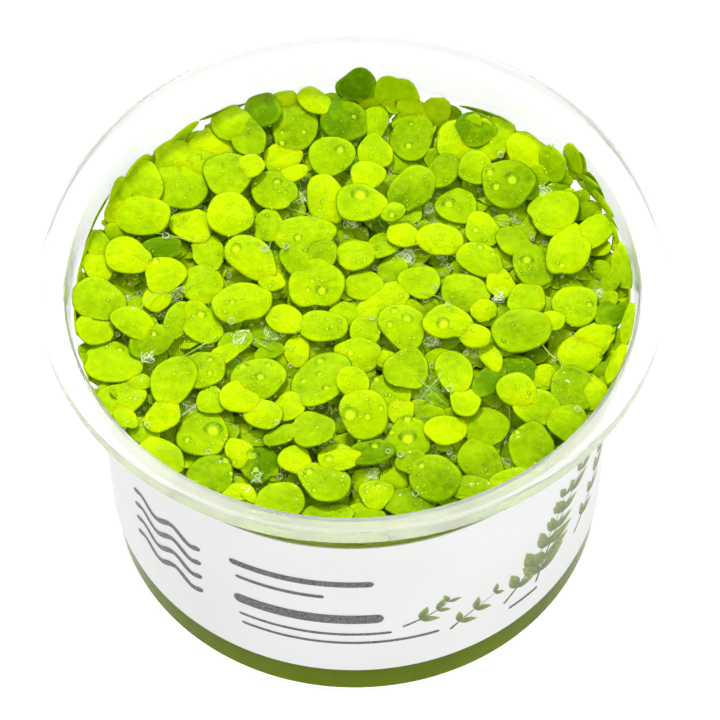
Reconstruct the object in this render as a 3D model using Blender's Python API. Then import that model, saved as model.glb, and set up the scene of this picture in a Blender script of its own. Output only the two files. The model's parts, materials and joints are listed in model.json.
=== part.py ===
"""Giant duckweed growing in its clear round cup.

A see-through cup with a wide flat rim holds a green nutrient medium. A bed of
duckweed floats on it, and on the bed lie the plants: small colonies of round
fronds, shingled over each other up to the wall. A paper band wraps the cup.

Metres, +Z up. The origin is the middle of the cup's foot.
"""

import math

import bpy
import bmesh
import numpy as np
from mathutils import Vector

MM = 0.001
GAP = 0.3 * MM

# Cup: one turned shape, set by its lip, its wall taper and its height
CUP_HEIGHT = 60.4 * MM
LIP_RADIUS = 50.0 * MM
BASE_RADIUS = 40.4 * MM
WALL_TAPER = 0.03
WALL = 1.05 * MM
SEGMENTS = 48

# Rim: a flat ring sunk inside an upright outer edge
RING_DEPTH = 1.6 * MM
RING_THICKNESS = 0.8 * MM
LIP_WIDTH = 0.7 * MM
SLOPE = 0.4 * MM
EDGE = 0.2 * MM

# Collar: the wider stretch of wall under the rim, on a rounded shoulder
COLLAR_RADIUS = 45.2 * MM
COLLAR_BEND = 0.5 * MM
SHOULDER_HEIGHT = 51.7 * MM
SHOULDER_BEND = 1.3 * MM
SHOULDER_RISE = 0.7 * MM
SHOULDER_DROP = 1.4 * MM

# Foot: the ring that the cup stands on, and the floor raised inside it
FOOT_RECESS = 0.8 * MM
FOOT_WIDTH = 2.0 * MM
FOOT_BEVEL = 0.5 * MM
FLOOR = 1.0 * MM
FLOOR_CORNER = 1.4 * MM

# Paper band: the stretch of wall that it covers and the open seam at the back
LABEL_BOTTOM = 7.5 * MM
LABEL_TOP = 44.7 * MM
LABEL_THICKNESS = 0.3 * MM
LABEL_GAP = 0.15 * MM
LABEL_SEAM = math.radians(3.0)

# What fills the cup under the plants
MEDIUM_TOP = 37.0 * MM
BED_TOP = 49.9 * MM
BED_LUMP = 0.45 * MM
BED_RINGS = 5

# Fronds: thickness, and how far each frond of a plant lies under its first
# one, because the younger fronds slip out from under the older
FROND_THICKNESS = 0.45 * MM
FROND_DROPS = (0.0, 0.18 * MM, 0.3 * MM, 0.12 * MM)
LARGE_FROND = 3.1 * MM
LARGE_SIDES = 9
SMALL_SIDES = 7
NODE_NARROWING = 0.16
WALL_LIMIT = 44.4 * MM
RIM_STEPS = 36

# Stacking: cell size of the height map, the clear space between plants, how
# far past its rim a frond is kept clear, and the steepest tilt of a plant
CELL = 0.25 * MM
MAP_HALF = 45.0 * MM
PLANT_GAP = 0.15 * MM
FROND_MARGIN = 1.05
STEEPEST = 0.28
TILT_STEP = 0.07

# The plants from the lowest to the topmost. A row is one plant, its fronds
# from the highest down: x, y, half length, half width (mm), the heading of the
# narrow end (degrees) and the tone from 0, yellow-green, to 3, deep green
PLANTS = (
    ((10.3, 34.3, 4.9, 3.5, -95, 2.0),),
    ((-9.0, 36.0, 5.2, 3.9, -100, 2.0), (-10.9, 30.8, 3.6, 2.6, 30, 0.1),
     (-10.3, 41.0, 2.4, 2.2, -80, 0.1)),
    ((2.0, 4.1, 3.2, 3.2, -60, 0.9), (10.8, 4.9, 3.7, 3.2, 170, 1.0),
     (4.8, 1.0, 5.4, 3.0, -145, 0.4)),
    ((0.8, 10.2, 3.7, 3.3, 20, 0.9), (5.0, 12.0, 3.4, 2.6, -130, 1.5)),
    ((14.2, 13.1, 3.9, 3.7, 180, 0.2), (8.6, 13.6, 3.1, 2.6, -20, 0.1)),
    ((0.6, -9.5, 3.9, 3.2, 150, 0.8), (4.8, -10.3, 1.9, 1.7, 170, 0.8),
     (2.0, -5.2, 3.4, 2.6, -100, 1.2)),
    ((26.0, -13.2, 3.4, 2.9, -20, 2.9), (29.7, -14.4, 2.5, 2.4, 160, 0.4)),
    ((-25.8, 17.0, 3.9, 3.3, -60, 0.1), (-24.1, 5.6, 4.3, 3.4, 100, 0.9),
     (-23.2, 11.6, 3.8, 2.8, -80, 0.8)),
    ((-23.7, -24.2, 4.3, 4.2, -35, 1.3), (-18.3, -27.8, 3.1, 2.2, 120, 0.0),
     (-15.3, -29.9, 3.4, 3.3, 150, 2.9)),
    ((-30.0, -28.7, 4.5, 3.0, 130, 0.7), (-32.4, -23.8, 3.6, 2.2, -60, 1.4)),
    ((-24.0, -12.0, 4.1, 3.6, 60, 1.4), (-20.8, -9.0, 2.9, 1.9, -140, 0.4),
     (-22.6, -18.0, 3.1, 2.4, 100, 0.9)),
    ((8.3, -25.9, 4.1, 3.7, 95, 1.4), (7.2, -20.8, 2.7, 2.3, -80, 0.1),
     (6.0, -16.8, 4.0, 3.1, -60, 1.0)),
    ((14.4, -25.0, 3.5, 2.9, 20, 0.0), (19.3, -30.4, 4.3, 3.6, 100, 2.0),
     (20.3, -24.0, 4.1, 3.9, -120, 1.6)),
    ((-10.8, -2.3, 3.5, 2.8, -40, 0.1), (-5.2, -4.0, 4.6, 3.2, 160, 0.9)),
    ((-0.5, 37.0, 4.2, 3.7, 0, 2.8), (4.2, 31.3, 3.4, 3.1, 90, 0.9),
     (4.3, 36.9, 3.2, 2.2, -90, 1.4), (-5.2, 40.4, 3.4, 2.2, -40, 0.4)),
    ((20.4, 34.0, 3.6, 3.2, -10, 2.9), (18.0, 32.8, 4.0, 3.6, 20, 0.4),
     (24.8, 34.5, 4.3, 3.2, -120, 1.0), (28.4, 30.0, 3.6, 3.2, 130, 0.1)),
    ((-27.4, 24.6, 4.9, 4.0, 85, 1.2), (-30.0, 31.4, 4.4, 3.7, -60, 1.0),
     (-24.0, 29.4, 3.7, 2.5, -150, 0.8), (-22.0, 33.0, 4.0, 2.9, -160, 0.1)),
    ((-19.3, 37.3, 3.6, 3.5, -35, 1.0), (-16.5, 33.6, 3.6, 3.0, 110, 2.0),
     (-14.0, 38.6, 3.3, 3.2, -135, 2.8)),
    ((-3.9, 21.8, 4.9, 3.4, 100, 0.4), (-3.0, 29.8, 4.0, 3.8, -95, 1.4)),
    ((-12.3, 23.4, 4.2, 3.9, -70, 1.5), (-7.5, 14.7, 5.3, 4.0, 10, 1.0),
     (-13.4, 16.7, 3.5, 2.6, 80, 1.4), (-9.6, 26.9, 3.0, 1.7, -150, 0.0)),
    ((21.3, 15.3, 4.0, 2.8, 100, 0.8), (17.4, 20.3, 3.8, 3.6, -50, 1.4)),
    ((10.2, 23.8, 5.0, 3.7, 60, 1.9), (15.3, 26.8, 3.5, 2.7, -120, 2.0)),
    ((20.9, 8.4, 4.1, 3.2, -30, 0.9), (23.8, 4.2, 3.0, 2.4, 110, 0.1),
     (18.2, 2.3, 4.0, 3.9, 20, 1.2), (20.8, -1.0, 2.4, 2.3, 130, 0.1)),
    ((29.0, 7.9, 5.2, 3.2, 100, 1.9), (26.2, 12.2, 3.2, 2.7, -50, 1.4),
     (28.0, 0.6, 3.9, 3.1, 60, 1.0)),
    ((35.5, -1.1, 4.1, 3.5, -80, 0.8), (35.6, -10.0, 3.9, 3.3, 60, 0.5),
     (37.8, -7.2, 3.3, 2.5, -150, 0.3), (40.4, -3.1, 2.7, 2.4, -140, 2.9)),
    ((15.9, -13.8, 4.8, 3.1, -80, 1.0), (17.3, -19.8, 3.4, 2.4, 110, 0.4),
     (21.2, -15.8, 4.2, 2.3, -120, 2.9), (21.8, -10.8, 3.6, 1.8, -70, 0.1)),
    ((34.3, -17.4, 4.5, 3.8, 110, 1.9), (39.0, -19.5, 4.0, 2.2, 100, 0.6)),
    ((25.7, -18.7, 3.4, 3.1, -40, 0.4), (28.2, -21.5, 3.9, 3.3, 130, 1.1),
     (27.1, -28.7, 4.5, 3.5, 80, 2.0), (32.6, -24.7, 3.4, 3.2, 150, 1.7)),
    ((3.0, -36.4, 2.9, 2.7, -90, 0.9), (8.0, -38.0, 4.2, 3.0, 170, 2.4),
     (1.6, -40.0, 3.2, 2.0, 150, 1.4), (-4.3, -39.6, 4.0, 2.2, 0, 1.7)),
    ((11.9, -33.8, 4.3, 4.1, 140, 2.0), (8.9, -31.3, 2.8, 2.4, -45, 2.0),
     (17.5, -36.0, 3.6, 2.3, 170, 2.0), (23.4, -34.6, 3.5, 1.9, -170, 1.0)),
    ((-22.2, -32.2, 3.7, 3.4, -40, 2.0), (-11.9, -37.6, 4.0, 3.5, 170, 1.5),
     (-17.9, -35.8, 2.8, 2.0, 150, 0.0)),
    ((-2.6, -30.3, 3.4, 3.1, 10, 0.6), (2.2, -29.3, 3.9, 2.8, -160, 2.6),
     (-5.1, -34.7, 4.8, 3.2, 140, 1.4), (-9.4, -30.4, 3.1, 2.7, -60, 0.1)),
    ((-37.6, -10.4, 4.7, 4.1, -50, 1.0), (-34.0, -14.0, 2.0, 1.9, 120, 1.0),
     (-37.0, -18.0, 4.2, 3.3, 50, 1.0), (-35.4, -21.4, 2.8, 1.7, 120, 0.5)),
    ((-40.7, 1.6, 4.3, 4.2, 80, 1.3), (-40.0, 8.2, 3.1, 2.5, -90, 0.2),
     (-41.0, 12.6, 3.0, 2.2, -80, 0.9), (-40.4, -4.0, 3.4, 2.8, 90, 0.6)),
    ((-35.6, 9.9, 3.6, 3.4, -30, 0.1), (-30.2, 6.4, 3.7, 3.4, -110, 0.2),
     (-31.3, 2.4, 2.9, 2.2, 60, 0.0), (-30.6, 12.0, 3.6, 2.1, 180, 2.9)),
    ((-33.8, 18.0, 4.5, 3.7, 170, 0.8), (-34.7, 25.4, 4.2, 2.9, -85, 1.0),
     (-37.5, 22.5, 4.0, 1.6, -110, 0.9), (-39.6, 21.4, 3.7, 1.8, -105, 0.6)),
    ((-24.3, -2.7, 4.5, 3.1, 110, 1.0), (-28.0, -2.4, 3.8, 2.3, -110, 1.5),
     (-32.0, -6.4, 4.1, 2.9, 30, 1.9), (-34.7, -3.6, 3.8, 2.8, -45, 0.8)),
    ((-5.4, -15.0, 5.8, 4.7, -120, 1.4), (-10.4, -19.6, 3.3, 2.6, 70, 0.4),
     (-6.8, -24.9, 4.1, 3.5, 140, 1.4), (-11.6, -25.4, 3.2, 1.9, 20, 1.5)),
    ((-5.8, 4.3, 4.7, 4.5, 110, 1.0), (-4.6, 9.5, 2.8, 2.4, -80, 1.5),
     (-8.8, 8.8, 3.4, 2.6, -60, 1.4)),
    ((8.0, -4.6, 4.8, 3.8, -85, 1.0), (8.4, -12.6, 4.4, 3.6, 80, 1.5)),
    ((27.0, -6.0, 5.2, 4.3, 10, 1.6), (31.6, -4.3, 2.4, 1.9, 180, 0.4)),
    ((15.3, -4.6, 4.3, 3.2, -30, 0.4), (19.2, -7.4, 2.7, 2.3, 150, 0.0)),
    ((32.6, 17.7, 4.8, 3.9, -75, 1.0), (34.7, 9.7, 5.4, 3.4, 85, 0.5),
     (39.0, 12.9, 4.2, 2.8, -130, 0.9)),
    ((25.5, 23.4, 4.6, 4.1, 150, 1.9), (20.7, 26.4, 3.2, 2.9, -30, 1.0)),
    ((-19.6, 18.2, 4.7, 3.7, 110, 0.3), (-19.8, 26.0, 4.4, 4.2, -80, 1.3),
     (-16.6, 27.4, 2.8, 2.4, -140, 0.2)),
    ((1.8, 19.8, 4.3, 4.0, -20, 1.0), (6.6, 17.7, 2.2, 2.1, 150, 1.0),
     (2.9, 25.6, 3.2, 2.9, -100, 0.5)),
    ((-16.0, 9.0, 5.0, 3.6, -45, 0.4), (-13.2, 5.1, 2.6, 2.0, 130, 0.0),
     (-17.6, 0.7, 5.3, 3.7, 20, 0.7)),
    ((-18.0, -18.3, 3.5, 3.2, -45, 0.0), (-14.6, -21.3, 3.4, 3.0, 130, 0.4),
     (-15.4, -14.4, 4.7, 4.4, -120, 1.4)),
    ((-29.9, -21.0, 3.3, 2.6, 80, 0.3), (-28.6, -14.9, 5.1, 3.6, -100, 1.0)),
    ((1.3, -22.2, 4.6, 4.0, 110, 0.8), (-0.2, -17.0, 3.0, 2.6, -80, 0.4)),
)

# The plants that lean on the wall or stand against it. A row is as above, with
# the plan of the leaning frond and, last, how steeply it rises to the wall
LEANING = (
    ((42.2, 5.2, 4.6, 1.6, 97, 0.9, 1.3),),
    ((42.5, -6.8, 4.2, 1.3, 81, 0.5, 1.5),),
    ((40.5, -14.4, 4.0, 1.6, 70, 0.0, 1.3),),
    ((1.4, 42.7, 3.4, 1.3, 178, 2.9, 2.5), (7.9, 42.0, 4.0, 1.4, -11, 0.9, 2.2)),
    ((32.7, 26.5, 3.0, 1.5, 129, 1.4, 1.7),),
    ((36.4, 24.0, 1.9, 0.7, 121, 0.9, 3.6), (38.5, 20.3, 3.4, 0.7, 118, 2.6, 2.4)),
)


def clear_scene():
    for item in list(bpy.data.objects):
        bpy.data.objects.remove(item, do_unlink=True)


def material(name, colour, roughness, transmission=0.0):
    made = bpy.data.materials.new(name)
    made.use_nodes = True
    shader = made.node_tree.nodes["Principled BSDF"]
    shader.inputs["Base Color"].default_value = (*colour, 1.0)
    shader.inputs["Roughness"].default_value = roughness
    shader.inputs["Metallic"].default_value = 0.0
    shader.inputs["Transmission Weight"].default_value = transmission
    return made


def add_object(name, bm, finish, smooth=False):
    """The closed mesh as an object, with its faces pointing out."""
    bmesh.ops.recalc_face_normals(bm, faces=bm.faces)
    mesh = bpy.data.meshes.new(name)
    bm.to_mesh(mesh)
    bm.free()
    made = bpy.data.objects.new(name, mesh)
    bpy.context.scene.collection.objects.link(made)
    mesh.materials.append(finish)
    if smooth:
        mesh.shade_smooth()
        mesh.set_sharp_from_angle(angle=math.radians(35.0))
    return made


def turned(profile):
    """A closed body spun about Z from an outline of (radius, height) points."""
    bm = bmesh.new()
    points = [bm.verts.new((radius, 0.0, height)) for radius, height in profile]
    edges = [bm.edges.new(pair) for pair in zip(points, points[1:])]
    if profile[0][0] > 0.0:
        edges.append(bm.edges.new((points[-1], points[0])))
    bmesh.ops.spin(
        bm, geom=points + edges, cent=(0.0, 0.0, 0.0), axis=(0.0, 0.0, 1.0),
        angle=math.tau, steps=SEGMENTS, use_merge=True)
    bmesh.ops.remove_doubles(bm, verts=bm.verts, dist=0.01 * MM)
    return bm


def wall_radius(height):
    """Outer radius of the cup's tapered wall."""
    return BASE_RADIUS + WALL_TAPER * height


def cup_inside():
    """Outline of the cup's inside, from the middle of the floor to the rim."""
    floor = FOOT_RECESS + FLOOR
    corner = wall_radius(0.0) - WALL
    wall_top = SHOULDER_HEIGHT - COLLAR_BEND
    bend = wall_radius(wall_top) - WALL
    return [
        (0.0, floor),
        (corner - FLOOR_CORNER, floor),
        (corner, floor + FLOOR_CORNER),
        (bend, wall_top - COLLAR_BEND),
        (bend + 2.0 * COLLAR_BEND, SHOULDER_HEIGHT),
        (COLLAR_RADIUS - SHOULDER_BEND, SHOULDER_HEIGHT + COLLAR_BEND),
        (COLLAR_RADIUS - COLLAR_BEND, SHOULDER_HEIGHT + SHOULDER_BEND),
        (COLLAR_RADIUS, CUP_HEIGHT - RING_DEPTH - SLOPE),
    ]


def cup_outside():
    """Outline of the rim and the outside, from the rim's inner edge down."""
    ring = CUP_HEIGHT - RING_DEPTH
    ring_under = ring - RING_THICKNESS
    lip = LIP_RADIUS - EDGE - LIP_WIDTH
    collar = COLLAR_RADIUS + WALL - COLLAR_BEND
    wall_top = SHOULDER_HEIGHT - SHOULDER_DROP
    foot = wall_radius(0.0) - FOOT_BEVEL
    return [
        (COLLAR_RADIUS + SLOPE, ring),
        (lip - SLOPE, ring),
        (lip, CUP_HEIGHT),
        (LIP_RADIUS - EDGE, CUP_HEIGHT),
        (LIP_RADIUS, CUP_HEIGHT - EDGE),
        (LIP_RADIUS, ring_under),
        (collar + SLOPE, ring_under),
        (collar, SHOULDER_HEIGHT + SHOULDER_BEND),
        (COLLAR_RADIUS - EDGE, SHOULDER_HEIGHT),
        (wall_radius(wall_top) + COLLAR_BEND, wall_top + SHOULDER_RISE),
        (wall_radius(wall_top), wall_top),
        (wall_radius(FOOT_BEVEL), FOOT_BEVEL),
        (foot, 0.0),
        (foot - FOOT_WIDTH, 0.0),
        (foot - FOOT_WIDTH - COLLAR_BEND, FOOT_RECESS),
        (0.0, FOOT_RECESS),
    ]


def make_cup():
    clear = material("clear_polypropylene", (0.90, 0.95, 0.90), 0.22, transmission=0.85)
    add_object("cup", turned(cup_inside() + cup_outside()), clear, smooth=True)


def make_label():
    """The paper band round the wall, open by a narrow seam at the back."""
    paper = material("label_paper", (0.90, 0.90, 0.89), 0.55)
    bm = bmesh.new()
    corners = []
    for height in (LABEL_BOTTOM, LABEL_TOP):
        inner = wall_radius(height) + LABEL_GAP
        corners.append([(inner, height), (inner + LABEL_THICKNESS, height)])
    outline = [corners[0][0], corners[0][1], corners[1][1], corners[1][0]]
    start = math.pi / 2.0 + LABEL_SEAM / 2.0
    face = bm.faces.new([
        bm.verts.new((radius * math.cos(start), radius * math.sin(start), height))
        for radius, height in outline])
    bmesh.ops.spin(
        bm, geom=[face], cent=(0.0, 0.0, 0.0), axis=(0.0, 0.0, 1.0),
        angle=math.tau - LABEL_SEAM, steps=SEGMENTS)
    add_object("label", bm, paper, smooth=True)


def fill_radius(height):
    """Radius of what fills the cup, clear of the faceted wall."""
    return wall_radius(height) - WALL - GAP


def make_medium():
    """The green nutrient medium, from the floor up to the bed."""
    green = material("nutrient_medium", (0.36, 0.46, 0.03), 0.1, transmission=0.6)
    bottom = FOOT_RECESS + FLOOR + GAP
    corner = FLOOR_CORNER + GAP
    profile = [
        (0.0, bottom),
        (fill_radius(0.0) - corner, bottom),
        (fill_radius(0.0), bottom + corner),
        (fill_radius(MEDIUM_TOP), MEDIUM_TOP),
        (0.0, MEDIUM_TOP),
    ]
    add_object("nutrient_medium", turned(profile), green, smooth=True)


def bed_height(x, y):
    """Height of the bed's lumpy top, in waves about as long as a frond."""
    lumps = (np.sin(x / (2.1 * MM)) * np.cos(y / (2.4 * MM))
             + np.sin((x + 1.7 * y) / (4.3 * MM)))
    return BED_TOP + 0.5 * BED_LUMP * lumps


def make_bed():
    """The mass of plants under the top ones, one body with a lumpy top."""
    green = material("duckweed_bed", (0.20, 0.34, 0.02), 0.6)
    bottom = MEDIUM_TOP + GAP
    rings = [fill_radius(bottom) * step / BED_RINGS for step in range(BED_RINGS)]
    profile = [(0.0, bottom), (fill_radius(bottom), bottom),
               (fill_radius(BED_TOP), BED_TOP)]
    profile += [(radius, BED_TOP) for radius in reversed(rings)]
    bm = turned(profile)
    for vert in bm.verts:
        if vert.co.z > BED_TOP - GAP:
            vert.co.z = float(bed_height(vert.co.x, vert.co.y))
    add_object("duckweed_bed", bm, green)


class Frond:
    """One frond in plan, an oval with a narrower end, and its tilted height."""

    def __init__(self, row, drop):
        x, y, half_length, half_width, heading, self.tone = row[:6]
        rise = row[6] if len(row) > 6 else 0.0
        self.centre = Vector((x * MM, y * MM))
        self.half = (half_length * MM, half_width * MM)
        self.heading = math.radians(heading)
        self.sides = LARGE_SIDES if self.half[0] > LARGE_FROND else SMALL_SIDES
        self.keep_inside()
        self.outward = self.centre.normalized() * rise
        self.thickness = FROND_THICKNESS * math.hypot(1.0, rise)
        self.slope = Vector((0.0, 0.0))
        self.level = -drop - self.outward.dot(self.centre)

    def plan(self, x, y):
        """Plan position of a point given on the unit circle."""
        along = x * self.half[0]
        across = y * self.half[1] * (1.0 - NODE_NARROWING * x)
        cosine, sine = math.cos(self.heading), math.sin(self.heading)
        return (self.centre.x + along * cosine - across * sine,
                self.centre.y + along * sine + across * cosine)

    def keep_inside(self):
        """Moves the frond in until its rim is clear of the collar."""
        turns = [math.tau * step / RIM_STEPS for step in range(RIM_STEPS)]
        reach = max(math.hypot(*self.plan(math.cos(t), math.sin(t))) for t in turns)
        if reach > WALL_LIMIT:
            distance = self.centre.length
            self.centre *= (distance - (reach - WALL_LIMIT)) / distance

    def covers(self, x, y):
        """Which of the places lie under the frond or close past its rim."""
        cosine, sine = math.cos(self.heading), math.sin(self.heading)
        east, north = x - self.centre.x, y - self.centre.y
        along = (east * cosine + north * sine) / self.half[0]
        narrowed = self.half[1] * (1.0 - NODE_NARROWING * np.clip(along, -1.2, 1.2))
        across = (north * cosine - east * sine) / narrowed
        return np.hypot(along, across) < FROND_MARGIN

    def under(self, x, y):
        """Height of the flat under side."""
        slope = self.slope + self.outward
        return self.level + slope.x * x + slope.y * y

    def solid(self, name, finish):
        """A thin tilted plate: a capped circle, extruded and set in place."""
        bm = bmesh.new()
        bmesh.ops.create_circle(bm, cap_ends=True, segments=self.sides, radius=1.0)
        top = bmesh.ops.extrude_face_region(bm, geom=bm.faces[:])["geom"]
        upper = {item for item in top if isinstance(item, bmesh.types.BMVert)}
        for vert in bm.verts:
            x, y = self.plan(vert.co.x, vert.co.y)
            vert.co = (x, y, self.under(x, y) + self.thickness * (vert in upper))
        return add_object(name, bm, finish)


def height_map():
    """Cell centres, and the ground that the plants come to lie on."""
    axis = np.arange(-MAP_HALF, MAP_HALF, CELL) + 0.5 * CELL
    x, y = np.meshgrid(axis, axis)
    radius = np.hypot(x, y)
    inside = cup_inside()[3:]
    wall = np.interp(radius, [point[0] for point in inside], [point[1] for point in inside])
    bed = np.where(radius < fill_radius(BED_TOP), bed_height(x, y), BED_TOP - 2.0 * MM)
    return x, y, np.maximum(bed, wall)


def lie_down(plant, ground, x, y):
    """Lowers a plant to a gap above what is under it, at the tilt that brings
    its middle lowest, and raises the ground to its top."""
    cells = [frond.covers(x, y) for frond in plant]
    under = np.concatenate(
        [ground[mask] - frond.under(x[mask], y[mask]) for frond, mask in zip(plant, cells)])
    east = np.concatenate([x[mask] for mask in cells])
    north = np.concatenate([y[mask] for mask in cells])
    tilts = np.arange(-STEEPEST, STEEPEST + 0.5 * TILT_STEP, TILT_STEP)
    best = None
    for slope in [(a, b) for a in tilts for b in tilts if math.hypot(a, b) <= STEEPEST]:
        lift = float((under - slope[0] * east - slope[1] * north).max())
        middle = lift + slope[0] * east.mean() + slope[1] * north.mean()
        if best is None or middle < best[0]:
            best = (middle, lift, slope)
    for frond, mask in zip(plant, cells):
        frond.slope = Vector(best[2])
        frond.level += best[1] + PLANT_GAP
        top = frond.under(x[mask], y[mask]) + frond.thickness
        ground[mask] = np.maximum(ground[mask], top)


def join(first, others):
    """Fuses the fronds of one plant into one body."""
    for other in others:
        union = first.modifiers.new("join", "BOOLEAN")
        union.operation = "UNION"
        union.solver = "EXACT"
        union.object = other
    seen = first.evaluated_get(bpy.context.evaluated_depsgraph_get())
    first.data = bpy.data.meshes.new_from_object(seen)
    first.modifiers.clear()
    for other in others:
        bpy.data.objects.remove(other, do_unlink=True)


def leaf_finishes():
    """A green for each whole tone, from yellow-green to deep green."""
    return [
        material("frond_yellow_green", (0.62, 0.85, 0.01), 0.4),
        material("frond_bright_green", (0.42, 0.72, 0.01), 0.4),
        material("frond_mid_green", (0.24, 0.50, 0.01), 0.4),
        material("frond_deep_green", (0.08, 0.26, 0.01), 0.4),
    ]


def make_plants():
    """Stacks the plants in their order and makes each one body."""
    x, y, ground = height_map()
    finishes = leaf_finishes()
    for number, rows in enumerate(PLANTS + LEANING, start=1):
        plant = [Frond(row, drop) for row, drop in zip(rows, FROND_DROPS)]
        lie_down(plant, ground, x, y)
        name = f"duckweed_plant_{number:02d}"
        finish = finishes[min(round(plant[0].tone), len(finishes) - 1)]
        solids = [frond.solid(f"{name}_{step}", finish) for step, frond in enumerate(plant)]
        solids[0].name = name
        join(solids[0], solids[1:])
        solids[0].data.name = name


def main():
    clear_scene()
    make_cup()
    make_label()
    make_medium()
    make_bed()
    make_plants()


main()
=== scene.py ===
"""Giant duckweed in its clear growing cup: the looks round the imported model.

Every piece is in metres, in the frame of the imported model: +Z up, with the
origin in the middle of the cup's foot.
"""

import json
import math
import random

import bpy
import bmesh
import numpy as np
from bpy.props import (
    FloatProperty, FloatVectorProperty, IntProperty, PointerProperty)
from mathutils import Matrix, Vector
from mathutils.bvhtree import BVHTree

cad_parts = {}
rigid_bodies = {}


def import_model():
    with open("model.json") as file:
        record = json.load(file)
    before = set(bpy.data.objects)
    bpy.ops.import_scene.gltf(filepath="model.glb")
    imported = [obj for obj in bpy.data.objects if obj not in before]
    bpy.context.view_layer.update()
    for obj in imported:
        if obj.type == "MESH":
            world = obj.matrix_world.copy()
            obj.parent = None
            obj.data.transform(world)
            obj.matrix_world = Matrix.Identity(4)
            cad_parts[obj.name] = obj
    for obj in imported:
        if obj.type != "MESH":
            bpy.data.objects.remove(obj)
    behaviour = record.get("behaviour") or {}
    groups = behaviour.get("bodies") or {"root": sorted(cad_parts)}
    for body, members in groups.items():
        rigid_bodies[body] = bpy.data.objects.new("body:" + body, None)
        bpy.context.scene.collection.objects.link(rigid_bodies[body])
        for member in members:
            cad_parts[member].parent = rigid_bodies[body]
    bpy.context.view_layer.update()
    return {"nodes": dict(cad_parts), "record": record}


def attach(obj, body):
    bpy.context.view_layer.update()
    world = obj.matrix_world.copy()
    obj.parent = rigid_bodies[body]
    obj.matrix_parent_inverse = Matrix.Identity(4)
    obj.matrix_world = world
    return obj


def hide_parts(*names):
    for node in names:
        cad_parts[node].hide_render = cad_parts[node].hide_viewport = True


bl_info = {
    "name": "Giant Duckweed Cup",
    "version": (1, 0, 0),
    "blender": (4, 5, 0),
    "location": "3D View > Sidebar > Duckweed",
    "description": "Dresses a clear cup of giant duckweed",
    "category": "Add Mesh",
}

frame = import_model()

MM = 0.001
AXIS = Vector((0.0, 0.0, 1.0))

# The turn from one small frond of the bed to the next, which spreads them
GOLDEN_TURN = 2.39996

# The cup: its outer radius at the floor, how much that grows with height, the
# wall's thickness and upper end, and the height of the lip
FOOT_RADIUS = 40.4 * MM
TAPER = 0.03
WALL = 0.5 * MM
WALL_TOP = 50.6 * MM
LIP = 60.4 * MM

# Heights and radii (mm) up the inside of the shoulder and the collar, halfway
# through the collar's thickness, and along the shoulder as fronds lie on it
INSIDE = ((50.6, 51.5, 52.1, 58.4), (41.4, 42.6, 44.9, 45.5))
COLLAR_MIDDLE = ((52.1, 58.4), (45.25, 45.8))
SHOULDER = ((50.8, 51.7, 52.5), (41.4, 42.6, 44.6))

# The radii between which fronds are pushed out to the wall (mm), and the height
# above which they climb the shoulder
PUSH_START = 34.0
PUSH_END = 42.0
CLIMB_LEVEL = 51.0 * MM

# How far the medium and the tangle reach into the clear wall, so that no air
# shows between them
OVERLAP = 0.1 * MM

# The paper band's air gap and thickness, and how far its print stands off the
# wall (mm)
LABEL_GAP = 0.1
LABEL_SHEET = 0.35
PRINT_LIFT = 0.475

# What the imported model's plants are made to: how far the fronds of a plant lie
# under its first one, how a frond narrows to its node, how near it comes to
# the wall, and the thickness of its plate
FROND_DROPS = (0.0, 0.18 * MM, 0.3 * MM, 0.12 * MM)
NODE_NARROWING = 0.16
WALL_LIMIT = 44.4 * MM
PLATE = 0.45 * MM

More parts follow.
